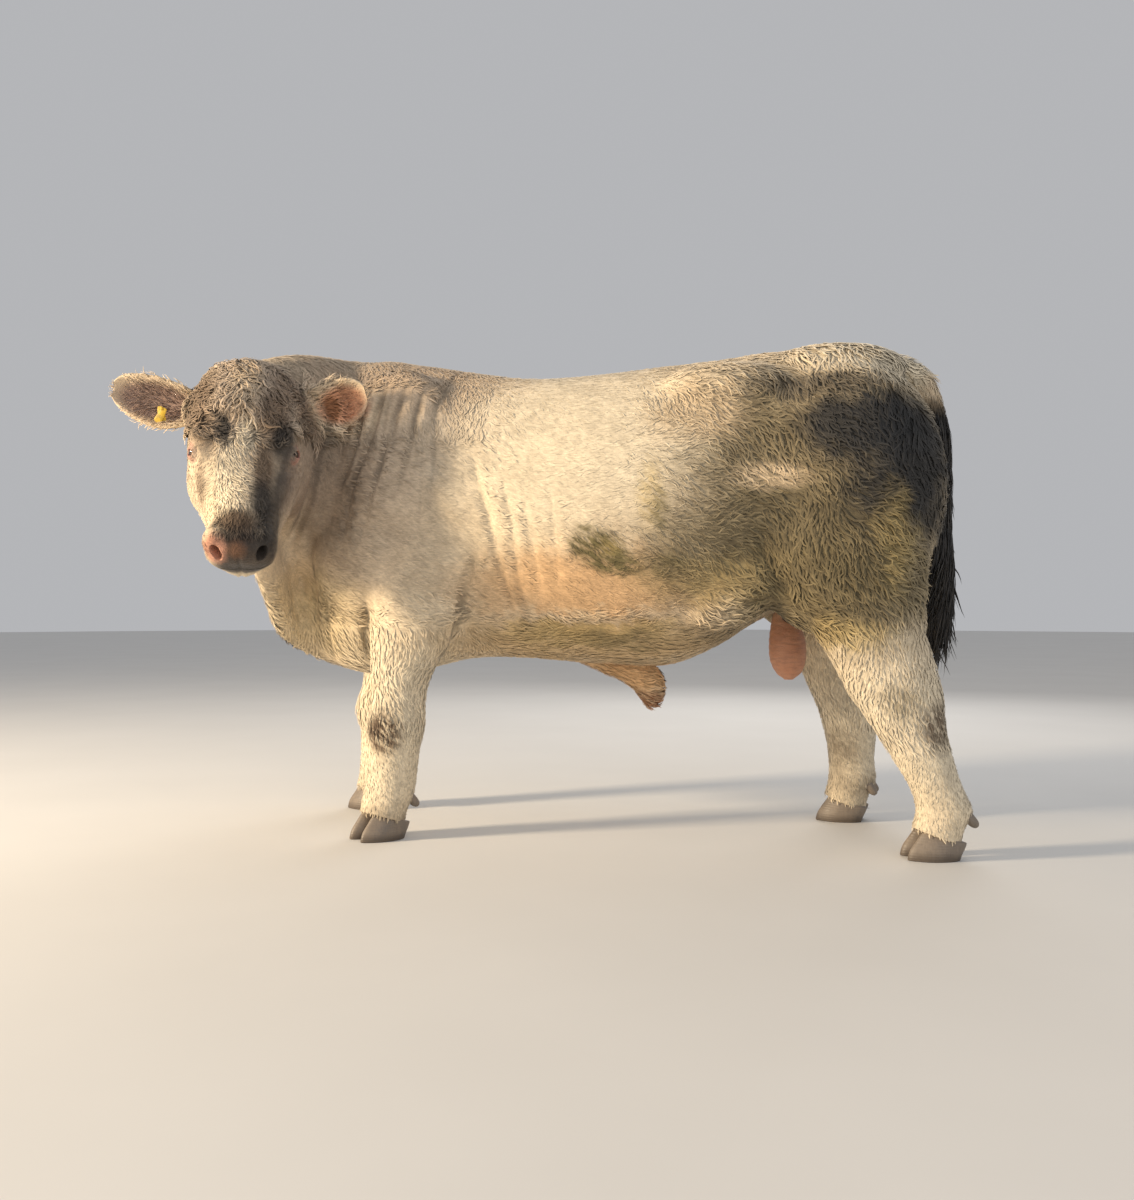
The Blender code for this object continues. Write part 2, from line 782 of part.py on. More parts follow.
def head_block(spread):
    start, towards, down, left = head_plane()
    point = start - towards * spread
    return slab("head_block", point, towards, down, left, 1.0, -0.3 - spread, 0.53 + spread, 0.21 + spread)


def neck_block(spread):
    point, normal = neck_plane()
    down = (Vector((0, 0, -1)) + normal * normal.z).normalized()
    left = down.cross(normal)
    return slab("neck_block", point - normal * spread, normal, down, left, 1.2, -1.0, 1.6, 1.5)


LEG_BLOCKS = {
    "fore_left": ((-0.06, -0.60), (0.36, -0.10), 0.60),
    "fore_right": ((-0.26, 0.10), (0.20, 0.60), 0.60),
    "hind_left": ((1.10, -0.60), (2.0, -0.10), 0.74),
    "hind_right": ((1.10, 0.10), (2.0, 0.60), 0.74),
}


def leg_block(foot, spread):
    (x0, y0), (x1, y1), top = LEG_BLOCKS[foot]
    low = (x0 - spread, y0 - spread, -0.2)
    high = (x1 + spread, y1 + spread, top + spread)
    return box("leg_block", low, high)


def coronet_plane(foot):
    """A point on the band above the hoof, the way out of the leg, and the toe's way."""
    (fx, fy), degrees = FEET[foot]
    way = Vector((math.cos(math.radians(degrees)), math.sin(math.radians(degrees)), 0))
    normal = (Vector((0, 0, -1)) + way * 0.33).normalized()
    return Vector((fx, fy, 0.060)), normal, way


def foot_block(foot, spread):
    point, normal, way = coronet_plane(foot)
    side = normal.cross(way).normalized()
    ahead = side.cross(normal)
    return slab("foot_block", point - normal * spread, normal, ahead, side, 0.4, -0.3, 0.3, 0.3)


def part_body(body):
    """Head, neck, torso and the four legs, each one closed body."""
    half = GAP / 2
    nodes = {}
    head = copy_of(body, "head")
    cutter = head_block(-half)
    boolean(head, cutter, "INTERSECT")
    drop(cutter)
    nodes["head"] = head
    cutter = head_block(half)
    boolean(body, cutter, "DIFFERENCE")
    drop(cutter)
    neck = copy_of(body, "neck")
    cutter = neck_block(-half)
    boolean(neck, cutter, "INTERSECT")
    drop(cutter)
    nodes["neck"] = neck
    cutter = neck_block(half)
    boolean(body, cutter, "DIFFERENCE")
    drop(cutter)
    for foot in FEET:
        leg = copy_of(body, "leg_" + foot)
        cutter = leg_block(foot, -half)
        boolean(leg, cutter, "INTERSECT")
        drop(cutter)
        cutter = leg_block(foot, half)
        boolean(body, cutter, "DIFFERENCE")
        drop(cutter)
        cutter = foot_block(foot, half)
        boolean(leg, cutter, "DIFFERENCE")
        drop(cutter)
        nodes["leg_" + foot] = leg
    body.name = "torso"
    nodes["torso"] = body
    for node in nodes.values():
        keep_largest(node)
    return nodes


# Hooves: two claws and two dewclaws on each foot


def claw(foot, side):
    """One claw from its flat sole up to the coronet."""
    point, normal, way = coronet_plane(foot)
    across = Vector((-way.y, way.x, 0)) * side
    levels = [
        # height share, forward shift, half length, half width
        (0.0, 0.022, 0.070, 0.0335),
        (0.10, 0.022, 0.072, 0.0345),
        (0.55, 0.006, 0.066, 0.0330),
        (1.0, -0.008, 0.060, 0.0310),
    ]
    rings = []
    for share, shift, long, wide in levels:
        ring = []
        for i in range(14):
            angle = 2 * math.pi * i / 14
            ahead = math.cos(angle)
            out = math.sin(angle)
            reach = wide * (1.0 - 0.42 * max(ahead, 0.0) ** 2)
            lateral = reach * out if out > 0 else 0.80 * wide * out
            spot = way * (shift + long * ahead) + across * (0.0335 + lateral)
            spot = Vector((point.x + spot.x, point.y + spot.y, 0))
            rim = point.z + (spot - Vector((point.x, point.y, 0))).dot(way) * 0.33 - GAP
            spot.z = rim * share
            ring.append(spot)
        rings.append(ring)
    return skin_rings(f"claw_{foot}_{'inner' if is_inner(foot, side) else 'outer'}", rings)


def is_inner(foot, side):
    """Whether the claw on this side of the toe's way is the one nearer the other legs."""
    way = coronet_plane(foot)[2]
    across = Vector((-way.y, way.x, 0)) * side
    return across.y * (-1 if FEET[foot][0][1] < 0 else 1) < 0


def dewclaw(foot, side):
    """A blunt horn cone rooted behind the fetlock."""
    point, normal, way = coronet_plane(foot)
    across = Vector((-way.y, way.x, 0)) * side
    start = Vector((point.x, point.y, 0.125)) - way * 0.060 + across * 0.033
    tip = start - way * 0.034 + across * 0.005 - Vector((0, 0, 0.036))
    along = (tip - start).normalized()
    up = Vector((0, 0, 1))
    up = (up - along * up.dot(along)).normalized()
    cross = along.cross(up)
    rings = []
    for share, size in ((-0.35, 0.018), (0.45, 0.019), (0.85, 0.015), (1.0, 0.007)):
        rings.append(oval(start + (tip - start) * share, cross, up, size, size * 0.9, size * 0.9, 8))
    return skin_rings("dewclaw", rings)


# Ears, eyes and tags


EAR_ROOTS = {-1: (0.070, -0.085, -0.144), 1: (0.055, -0.112, 0.142)}
EAR_WAYS = {-1: Vector((-0.240, -0.035, 0.050)), 1: Vector((0.205, 0.000, 0.045))}
EAR_CUPS = {-1: Vector((0.25, -0.92, -0.18)), 1: Vector((0.34, -0.90, -0.16))}


def ear(side, behind):
    """A cupped leaf: each ring is a crescent, open on the cup side."""
    start = at_head(*EAR_ROOTS[side])
    way = EAR_WAYS[side]
    along = way.normalized()
    cup = EAR_CUPS[side]
    front = (cup - along * cup.dot(along)).normalized()
    down = (Vector((0, 0, -1)) - along * -along.z).normalized()
    down = (down - front * down.dot(front)).normalized()
    rings = []
    outline = [
        # share of the length, half width, depth of the cup, thickness, drop
        (-0.14, 0.040, 0.024, 0.026, 0.004),
        (0.00, 0.050, 0.032, 0.018, 0.004),
        (0.14, 0.063, 0.040, 0.014, 0.006),
        (0.36, 0.074, 0.042, 0.012, 0.009),
        (0.56, 0.073, 0.037, 0.011, 0.006),
        (0.76, 0.063, 0.026, 0.010, 0.001),
        (0.92, 0.044, 0.014, 0.009, -0.003),
        (1.00, 0.020, 0.004, 0.006, -0.004),
    ]
    for share, half, deep, thick, lower in smooth_rows(outline, 2):
        middle = start + way * share + down * lower
        ring = []
        for i in range(9):
            u = -1 + 2 * i / 8
            ring.append(middle + down * half * u - front * (deep * (1 - u * u) + thick * 0.5))
        for i in range(7):
            u = 1 - 2 * (i + 1) / 8
            ring.append(middle + down * half * 0.93 * u - front * (deep * (1 - u * u) - thick * 0.5))
        rings.append(ring)
    body = skin_rings("ear_left" if side > 0 else "ear_right", rings)
    clear_of(body, behind)
    keep_largest(body)
    return body


def ear_tag(ear_body):
    """A plain yellow tag that hangs in the cup of the right ear."""
    start = at_head(*EAR_ROOTS[-1])
    along = EAR_WAYS[-1].normalized()
    front = (EAR_CUPS[-1] - along * EAR_CUPS[-1].dot(along)).normalized()
    down = (Vector((0, 0, -1)) - along * -along.z).normalized()
    middle = start + along * 0.098 + down * 0.042 - front * 0.010
    corners = []
    for n in (-0.0100, 0.0016):
        for u in (-0.020, 0.020):
            for v in (-0.026, 0.026):
                taper = 0.72 if v < 0 else 1.0
                corners.append(middle + front * n + along * u * taper + down * v)
    faces = [(0, 1, 3, 2), (4, 6, 7, 5), (0, 4, 5, 1), (2, 3, 7, 6), (0, 2, 6, 4), (1, 5, 7, 3)]
    body = mesh_object("ear_tag", corners, faces)
    clear_of(body, [ear_body])
    keep_largest(body)
    return body


# Tail


def tail_rows():
    return [
        (1.500, 0.0, 1.365, 0.055, 0.040, 0.040),
        (1.575, 0.0, 1.372, 0.050, 0.040, 0.040),
        (1.640, -0.002, 1.335, 0.043, 0.040, 0.040),
        (1.682, -0.004, 1.250, 0.038, 0.036, 0.036),
        (1.698, -0.006, 1.13, 0.035, 0.034, 0.034),
        (1.701, -0.006, 1.00, 0.034, 0.033, 0.033),
        (1.700, -0.006, 0.885, 0.034, 0.033, 0.033),
    ]


def switch_rows():
    return [
        (1.700, -0.006, 0.8847, 0.034, 0.033, 0.033),
        (1.700, -0.006, 0.82, 0.036, 0.034, 0.034),
        (1.698, -0.008, 0.74, 0.036, 0.034, 0.034),
        (1.696, -0.010, 0.66, 0.032, 0.030, 0.030),
        (1.692, -0.012, 0.58, 0.022, 0.020, 0.020),
        (1.690, -0.014, 0.54, 0.008, 0.008, 0.008),
    ]


def hanging_rings(rows, count):
    """Rings across a path that bends from level to hanging, in the plane y = 0."""
    rows = np.asarray(rows, float)
    ways = np.gradient(rows[:, :3], axis=0)
    rings = []
    for row, way in zip(rows, ways):
        along = Vector(way).normalized()
        side = Vector((0, 1, 0))
        side = (side - along * side.dot(along)).normalized()
        up = side.cross(along)
        rings.append(oval(Vector(row[:3]), side, up, row[3], row[4], row[5], count))
    return rings


def tail(torso):
    rings = hanging_rings(smooth_rows(tail_rows(), 2), 12)
    low = tail_rows()[-1]
    rings[-1] = oval(Vector(low[:3]), ACROSS, -AFT, low[3], low[4], low[5], 12)
    body = skin_rings("tail", rings)
    clear_of(body, [torso])
    keep_largest(body)
    return body


def switch_locks():
    """Long tapered locks in a spiral down the core of the switch."""
    draw = np.random.default_rng(11)
    rows = np.asarray(switch_rows(), float)
    top, bottom = rows[0, 2] - 0.045, rows[-1, 2] + 0.06
    made = []
    for i in range(SWITCH_LOCKS):
        z = top + (bottom - top) * (i / SWITCH_LOCKS)
        x, y, half = (np.interp(-z, -rows[:, 2], rows[:, k]) for k in (0, 1, 3))
        angle = 2.4 * i
        normal = Vector((math.cos(angle), math.sin(angle), 0.0))
        root = Vector((x, y, z)) + normal * half * 0.80
        length = min(draw.uniform(0.15, 0.21), z - SWITCH_TIP)
        lie = Vector((0.0, 0.0, -1.0)) - normal * draw.uniform(0.02, 0.12)
        curl = draw.uniform(-0.030, 0.030)
        made.append(lock(root, normal, lie, length, 0.0150, 0.0080, 0.014, curl, 5))
    return made


def tail_switch():
    rings = hanging_rings(smooth_rows(switch_rows(), 2), 10)
    top = switch_rows()[0]
    rings[0] = oval(Vector(top[:3]), ACROSS, -AFT, top[3], top[4], top[5], 10)
    body = skin_rings("tail_switch", rings)
    fuse(body, switch_locks())
    keep_largest(body)
    return body


# Sheath and scrotum


def scrotum(others):
    rows = [
        (1.262, 0.0, 0.735, 0.034, 0.034),
        (1.262, 0.0, 0.680, 0.036, 0.038),
        (1.264, 0.0, 0.630, 0.048, 0.050),
        (1.268, 0.0, 0.575, 0.060, 0.062),
        (1.270, 0.0, 0.520, 0.060, 0.062),
        (1.272, 0.0, 0.478, 0.044, 0.046),
        (1.272, 0.0, 0.456, 0.016, 0.016),
    ]
    rings = []
    for x, y, z, long, wide in smooth_rows(rows, 2):
        rings.append(oval(Vector((x, y, z)), ACROSS, AFT, wide, long, long, 16))
    body = skin_rings("scrotum", rings)
    clear_of(body, others)
    keep_largest(body)
    return body


def sheath(others):
    rows = [
        (0.64, 0.0, 0.535, 0.032, 0.030, 0.022),
        (0.715, 0.0, 0.512, 0.042, 0.040, 0.034),
        (0.790, 0.0, 0.492, 0.050, 0.050, 0.046),
        (0.840, 0.0, 0.462, 0.052, 0.054, 0.052),
        (0.858, 0.0, 0.420, 0.042, 0.044, 0.044),
        (0.862, 0.0, 0.368, 0.018, 0.018, 0.018),
    ]
    body = skin_rings("sheath", hanging_rings(smooth_rows(rows, 2), 14))
    clear_of(body, others)
    fuse(body, sheath_locks(rows[-2]))
    keep_largest(body)
    return body


def sheath_locks(low):
    """The tuft of long hair that hangs round the opening of the sheath."""
    draw = np.random.default_rng(5)
    made = []
    for i in range(SHEATH_LOCKS):
        angle = 2 * math.pi * (i + 0.5) / SHEATH_LOCKS
        normal = Vector((math.cos(angle), math.sin(angle), 0.0))
        root = Vector(low[:3]) + normal * low[3] * 0.72
        lie = Vector((0.15, 0.0, -1.0)) - normal * 0.35
        length = draw.uniform(0.055, 0.080)
        curl = draw.uniform(-0.012, 0.012)
        made.append(lock(root, normal, lie, length, 0.0125, 0.0070, 0.008, curl, 5))
    return made


def main():
    for old in list(bpy.data.objects):
        bpy.data.objects.remove(old)
    body = whole_body()
    fuse(body, forehead_clumps(body))
    nodes = part_body(body)
    head = nodes["head"]
    fuse(head, [lids(-1), lids(1)])
    for cutter in (nostril(-1), nostril(1), mouth_line(), eye_opening(-1), eye_opening(1)):
        boolean(head, cutter, "DIFFERENCE")
        drop(cutter)
    for side in (-1, 1):
        made = eye(side)
        clear_of(head, [made])
        nodes[made.name] = made
    keep_largest(head)
    for side in (-1, 1):
        made = ear(side, [head, nodes["neck"]])
        nodes[made.name] = made
    nodes["ear_tag"] = ear_tag(nodes["ear_right"])
    for foot in FEET:
        fuse(nodes["leg_" + foot], [dewclaw(foot, -1), dewclaw(foot, 1)])
        keep_largest(nodes["leg_" + foot])
        for side in (-1, 1):
            made = claw(foot, side)
            nodes[made.name] = made
    nodes["tail"] = tail(nodes["torso"])
    nodes["tail_switch"] = tail_switch()
    nodes["scrotum"] = scrotum([nodes["torso"]])
    nodes["sheath"] = sheath([nodes["torso"]])
    dress(nodes)
    return rest_on_origin(nodes)


def dress(nodes):
    for name, node in nodes.items():
        node.name = name
        if name.startswith("claw"):
            wear(node, "horn")
        elif name.startswith("eye"):
            wear(node, "eye")
        elif name == "ear_tag":
            wear(node, "tag")
        elif name == "tail_switch":
            wear(node, "dark_hair")
        elif name == "scrotum":
            wear(node, "bare_skin")
        else:
            wear(node, "coat")
        for polygon in node.data.polygons:
            polygon.use_smooth = True


def rest_on_origin(nodes):
    """Moves everything so that the middle of the model's box stands over the origin."""
    places = np.vstack([positions(node) for node in nodes.values()])
    low = places.min(axis=0)
    high = places.max(axis=0)
    shift = Vector((-(low[0] + high[0]) / 2, -(low[1] + high[1]) / 2, -low[2]))
    for node in nodes.values():
        node.data.transform(Matrix.Translation(shift))
    return shift


SHIFT = main()
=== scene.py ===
import json
import math

import bmesh
import bpy
import numpy as np
from mathutils import Matrix, Vector

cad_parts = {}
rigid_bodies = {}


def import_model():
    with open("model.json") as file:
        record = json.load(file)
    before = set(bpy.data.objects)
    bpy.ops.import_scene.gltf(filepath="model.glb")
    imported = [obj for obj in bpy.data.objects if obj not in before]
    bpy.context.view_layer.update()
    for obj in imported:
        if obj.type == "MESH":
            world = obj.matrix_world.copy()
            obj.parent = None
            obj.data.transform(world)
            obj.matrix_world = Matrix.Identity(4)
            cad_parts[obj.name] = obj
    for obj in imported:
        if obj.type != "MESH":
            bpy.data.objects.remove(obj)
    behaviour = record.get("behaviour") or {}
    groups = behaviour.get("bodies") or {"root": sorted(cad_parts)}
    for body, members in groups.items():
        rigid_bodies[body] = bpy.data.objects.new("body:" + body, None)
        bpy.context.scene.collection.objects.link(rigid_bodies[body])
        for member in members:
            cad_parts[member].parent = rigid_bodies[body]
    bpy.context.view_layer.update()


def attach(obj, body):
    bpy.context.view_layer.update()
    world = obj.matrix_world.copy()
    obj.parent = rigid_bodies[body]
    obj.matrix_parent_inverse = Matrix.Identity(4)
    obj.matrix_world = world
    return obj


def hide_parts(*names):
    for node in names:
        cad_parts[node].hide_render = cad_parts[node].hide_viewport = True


for spare in list(bpy.data.objects):
    bpy.data.objects.remove(spare, do_unlink=True)

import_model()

# Main sizes, in metres, in the withers frame: x = 0 at the withers, y = 0 in the middle, z = 0 on
# the floor. The bull faces -X and its left side is -Y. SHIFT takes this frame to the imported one.
SHIFT = Vector((-0.575535, 0.17034, 0.0))
WITHERS_HEIGHT = 1.45
LOIN_HEIGHT = 1.375
RUMP_HEIGHT = 1.428
CHEST_FLOOR = 0.47
BELLY_FLOOR = 0.495
SHOULDER_HALF = 0.335
BARREL_HALF = 0.395
RUMP_HALF = 0.345
HEAD_LENGTH = 0.585
HEAD_HALF = 0.162
EYE_RADIUS = 0.021
LID_THICK = 0.0048
EYE_SLIT = (0.0190, 0.0110, 0.0085)
EYE_PLACE = (0.256, -0.050, 0.1250)
VOXEL = 0.0105
COAT_DEPTH = 0.004
RIM_SLOPE = 0.33
RIM_HEIGHT = 0.060
CLAW_APART = 0.0335
CLAW_TAPER = 0.42
SOLE_CLEARANCE = 0.0002
EAR_ASIDE = 0.145
EYE_HOLE = 0.021

AFT = Vector((1, 0, 0))
ACROSS = Vector((0, 1, 0))
UPWARD = Vector((0, 0, 1))

HEAD_TURN = math.radians(-70.0)
HEAD_PITCH = math.radians(60.0)
HEAD_TILT = 0.0
POLL = Vector((-0.226, -0.480, 1.340))

FEET = {
    "fore_left": ((0.105, -0.275), 228.0),
    "fore_right": ((-0.085, 0.225), 172.0),
    "hind_left": ((1.665, -0.285), 192.0),
    "hind_right": ((1.455, 0.265), 172.0),
}


def mesh_object(name, points, faces):
    mesh = bpy.data.meshes.new(name)
    mesh.from_pydata([tuple(p) for p in points], [], faces)
    body = bpy.data.objects.new(name, mesh)
    bpy.context.scene.collection.objects.link(body)
    face_outward(body)
    return body


def face_outward(body):
    work = bmesh.new()
    work.from_mesh(body.data)
    bmesh.ops.recalc_face_normals(work, faces=work.faces[:])
    if work.calc_volume(signed=True) < 0:
        bmesh.ops.reverse_faces(work, faces=work.faces[:])
    work.to_mesh(body.data)
    work.free()


def skin_rings(name, rings):
    """One closed tube through the rings, with a fan at each end."""
    rings = np.asarray(rings, float)
    rows, count = rings.shape[:2]
    points = list(rings.reshape(-1, 3))
    faces = []
    for row in range(rows - 1):
        for i in range(count):
            j = (i + 1) % count
            a = row * count
            b = a + count
            faces.append((a + i, a + j, b + j, b + i))
    for row in (0, rows - 1):
        centre = len(points)
        points.append(rings[row].mean(axis=0))
        start = row * count
        for i in range(count):
            faces.append((start + i, start + (i + 1) % count, centre))
    return mesh_object(name, points, faces)


def smooth_rows(rows, steps):
    """More rows between the given ones, on a smooth curve through all of them."""
    rows = np.asarray(rows, float)
    padded = np.vstack([2 * rows[0] - rows[1], rows, 2 * rows[-1] - rows[-2]])
    made = []
    for i in range(1, len(padded) - 2):
        before, start, end, after = padded[i - 1 : i + 3]
        for step in range(steps):
            t = step / steps
            bend = 2 * before - 5 * start + 4 * end - after
            twist = -before + 3 * start - 3 * end + after
            value = 2 * start + (end - before) * t + bend * t**2 + twist * t**3
            made.append(0.5 * value)
    made.append(rows[-1])
    return np.asarray(made)


def oval(centre, side, up, half, above, below, count=32, power=2.0, lean=0.0):
    """A ring round centre: half wide, above and below high, squarer for a higher power."""
    points = []
    shape = 2.0 / power
    for i in range(count):
        angle = 2 * math.pi * i / count
        c = math.copysign(abs(math.cos(angle)) ** shape, math.cos(angle))
        s = math.copysign(abs(math.sin(angle)) ** shape, math.sin(angle))
        wide = half * (1 + lean * s) * c
        high = (above if s > 0 else below) * s
        points.append(centre + side * wide + up * high)
    return points


def unit_ball():
    work = bmesh.new()
    bmesh.ops.create_icosphere(work, subdivisions=3, radius=1.0)
    mesh = bpy.data.meshes.new("ball")
    work.to_mesh(mesh)
    work.free()
    return mesh


def ball(centre, radii, turn=(0.0, 0.0, 0.0)):
    """An ellipsoid, turned by degrees about x, y and z."""
    mesh = unit_ball()
    spin = Matrix.Rotation(math.radians(turn[2]), 4, "Z")
    spin @= Matrix.Rotation(math.radians(turn[1]), 4, "Y")
    spin @= Matrix.Rotation(math.radians(turn[0]), 4, "X")
    mesh.transform(Matrix.Translation(centre) @ spin @ Matrix.Diagonal((*radii, 1.0)))
    body = bpy.data.objects.new("ball", mesh)
    bpy.context.scene.collection.objects.link(body)
    return body


def drop(*bodies):
    for body in bodies:
        mesh = body.data
        bpy.data.objects.remove(body)
        bpy.data.meshes.remove(mesh)


def bake(body):
    """The object's modifiers become its mesh."""
    graph = bpy.context.evaluated_depsgraph_get()
    mesh = bpy.data.meshes.new_from_object(body.evaluated_get(graph))
    old = body.data
    body.modifiers.clear()
    body.data = mesh
    bpy.data.meshes.remove(old)


def joined(name, bodies):
    """One object that holds the faces of all bodies, which may cross."""
    work = bmesh.new()
    for body in bodies:
        work.from_mesh(body.data)
    mesh = bpy.data.meshes.new(name)
    work.to_mesh(mesh)
    work.free()
    drop(*bodies)
    made = bpy.data.objects.new(name, mesh)
    bpy.context.scene.collection.objects.link(made)
    return made


def boolean(body, cutter, operation):
    step = body.modifiers.new("cut", "BOOLEAN")
    step.operation = operation
    step.solver = "MANIFOLD"
    step.object = cutter
    bake(body)


def torso_form():
    top = WITHERS_HEIGHT
    stations = [
        # x, top, widest level, floor, half width, squareness
        (-0.225, 1.00, 0.80, 0.63, 0.10, 2.0),
        (-0.18, 1.20, 0.85, 0.54, 0.19, 2.0),
        (-0.09, top - 0.045, 0.90, CHEST_FLOOR + 0.005, 0.275, 2.1),
        (0.02, top - 0.004, 0.92, CHEST_FLOOR - 0.01, SHOULDER_HALF - 0.01, 2.2),
        (0.16, top - 0.022, 0.92, CHEST_FLOOR + 0.01, SHOULDER_HALF, 2.2),
        (0.32, top - 0.05, 0.92, CHEST_FLOOR + 0.045, SHOULDER_HALF + 0.015, 2.2),
        (0.50, LOIN_HEIGHT, 0.92, BELLY_FLOOR + 0.02, BARREL_HALF - 0.02, 2.2),
        (0.70, LOIN_HEIGHT + 0.005, 0.90, BELLY_FLOOR + 0.005, BARREL_HALF, 2.2),
        (0.90, LOIN_HEIGHT + 0.022, 0.91, BELLY_FLOOR, BARREL_HALF - 0.005, 2.2),
        (1.06, RUMP_HEIGHT - 0.022, 0.94, BELLY_FLOOR + 0.06, BARREL_HALF - 0.025, 2.3),
        (1.20, RUMP_HEIGHT - 0.006, 0.99, BELLY_FLOOR + 0.15, RUMP_HALF, 2.4),
        (1.36, RUMP_HEIGHT, 1.03, 0.70, RUMP_HALF - 0.005, 2.4),
        (1.48, RUMP_HEIGHT - 0.018, 1.04, 0.73, RUMP_HALF - 0.02, 2.3),
        (1.575, RUMP_HEIGHT - 0.065, 1.05, 0.78, RUMP_HALF - 0.065, 2.2),
        (1.645, RUMP_HEIGHT - 0.17, 1.06, 0.88, RUMP_HALF - 0.14, 2.1),
        (1.668, RUMP_HEIGHT - 0.26, 1.06, 0.95, 0.10, 2.0),
    ]
    rings = []
    for x, high, wide, low, half, power in smooth_rows(stations, 4):
        centre = Vector((x, 0, wide))
        above, below = high - wide, wide - low
        rings.append(oval(centre, ACROSS, UPWARD, half, above, below, 48, power))
    return skin_rings("torso_form", rings)


def muscle_forms():
    """Shoulders, arms, haunches, hips, brisket and the flank folds."""
    made = []
    for side in (-1, 1):
        ahead = 0.0 if side < 0 else -0.10
        back = 0.10 if side < 0 else -0.06
        made += [
            ball((0.11 + ahead, 0.215 * side, 1.05), (0.23, 0.140, 0.34), (0, 10, 0)),
            ball((0.05 + ahead, 0.225 * side, 0.82), (0.19, 0.130, 0.20), (0, -18, 0)),
            ball((0.24 + ahead, 0.245 * side, 0.80), (0.18, 0.110, 0.19), (0, 30, 0)),
            ball((1.40 + 0.3 * back, 0.190 * side, 1.03), (0.275, 0.180, 0.36), (0, -6, 0)),
            ball((1.34 + 0.4 * back, 0.235 * side, 0.82), (0.23, 0.128, 0.22), (0, 14, 0)),
            ball((1.10, 0.195 * side, 1.285), (0.22, 0.130, 0.085), (0, 0, 0)),
            ball((1.13, 0.255 * side, 0.745), (0.20, 0.090, 0.11), (0, -32, 0)),
        ]
    made += [
        ball((-0.055, 0.0, 0.645), (0.195, 0.180, 0.175), (0, 14, 0)),
        ball((1.40, 0.11, 1.365), (0.20, 0.14, 0.062), (0, 0, 0)),
        ball((1.40, -0.11, 1.365), (0.20, 0.14, 0.062), (0, 0, 0)),
    ]
    return made


def path_rings(rows, count=36, power=2.0, lean=0.0):
    """Rings across a curved path: x, y, z, half width, height above, height below."""
    rows = np.asarray(rows, float)
    ways = np.gradient(rows[:, :3], axis=0)
    rings = []
    for row, way in zip(rows, ways):
        along = Vector(way).normalized()
        side = along.cross(UPWARD).normalized()
        up = side.cross(along)
        rings.append(oval(Vector(row[:3]), side, up, row[3], row[4], row[5], count, power, lean))
    return rings


def neck_form():
    stations = [
        (0.16, 0.02, 1.02, 0.27, 0.40, 0.42),
        (-0.02, -0.02, 1.05, 0.26, 0.405, 0.40),
        (-0.145, -0.10, 1.09, 0.230, 0.370, 0.34),
        (-0.215, -0.22, 1.12, 0.215, 0.330, 0.29),
        (-0.240, -0.34, 1.13, 0.200, 0.268, 0.25),
        (-0.235, -0.46, 1.12, 0.175, 0.215, 0.20),
        (-0.220, -0.56, 1.09, 0.120, 0.16, 0.14),
    ]
    return skin_rings("neck_form", path_rings(smooth_rows(stations, 4), 40, 2.1, -0.12))


def dewlap_form():
    stations = [
        (-0.195, -0.52, 0.93, 0.045, 0.08, 0.07),
        (-0.215, -0.42, 0.87, 0.042, 0.10, 0.09),
        (-0.235, -0.28, 0.79, 0.042, 0.11, 0.11),
        (-0.235, -0.15, 0.70, 0.045, 0.12, 0.12),
        (-0.170, -0.06, 0.61, 0.055, 0.12, 0.10),
        (-0.050, -0.02, 0.555, 0.070, 0.10, 0.085),
        (0.10, 0.00, 0.54, 0.080, 0.07, 0.06),
    ]
    return skin_rings("dewlap_form", path_rings(smooth_rows(stations, 4), 24))


def head_axes():
    facing = Vector((math.cos(HEAD_TURN), math.sin(HEAD_TURN), 0))
    left = UPWARD.cross(facing)
    along = facing * math.cos(HEAD_PITCH) - UPWARD * math.sin(HEAD_PITCH)
    out = facing * math.sin(HEAD_PITCH) + UPWARD * math.cos(HEAD_PITCH)
    tilt = Matrix.Rotation(HEAD_TILT, 3, facing)
    return tilt @ along, tilt @ out, tilt @ left


def at_head(a, b, s):
    along, out, left = head_axes()
    return POLL + along * a + out * b + left * s


def head_ball(a, b, s, radii):
    """An ellipsoid in the head's frame, with its radii along a, b and s."""
    along, out, left = head_axes()
    mesh = unit_ball()
    axes = Matrix((along * radii[0], out * radii[1], left * radii[2])).transposed()
    mesh.transform(Matrix.Translation(at_head(a, b, s)) @ axes.to_4x4())
    body = bpy.data.objects.new("ball", mesh)
    bpy.context.scene.collection.objects.link(body)
    face_outward(body)
    return body


def head_form():
    half = HEAD_HALF
    stations = [
        # a, face line, jaw line, half width, lean towards the face side
        (-0.035, -0.05, -0.18, 0.60 * half, 0.00),
        (0.00, -0.005, -0.24, 0.82 * half, 0.00),
        (0.06, 0.015, -0.28, 0.97 * half, 0.04),
        (0.14, 0.018, -0.305, half, 0.06),
        (0.22, 0.008, -0.315, half, 0.06),
        (0.29, -0.006, -0.300, 0.95 * half, 0.04),
        (0.355, -0.016, -0.262, 0.80 * half, -0.08),
        (0.415, -0.022, -0.235, 0.68 * half, -0.12),
        (0.470, -0.024, -0.212, 0.60 * half, -0.08),
        (0.522, -0.026, -0.195, 0.60 * half, 0.02),
        (0.562, -0.040, -0.170, 0.53 * half, 0.04),
        (HEAD_LENGTH, -0.066, -0.142, 0.36 * half, 0.00),
    ]
    along, out, left = head_axes()
    rings = []
    for a, face, jaw, wide, lean in smooth_rows(stations, 4):
        middle = face + 0.42 * (jaw - face)
        centre = at_head(a, middle, 0)
        rings.append(oval(centre, left, out, wide, face - middle, middle - jaw, 36, 2.25, lean))
    return skin_rings("head_form", rings)


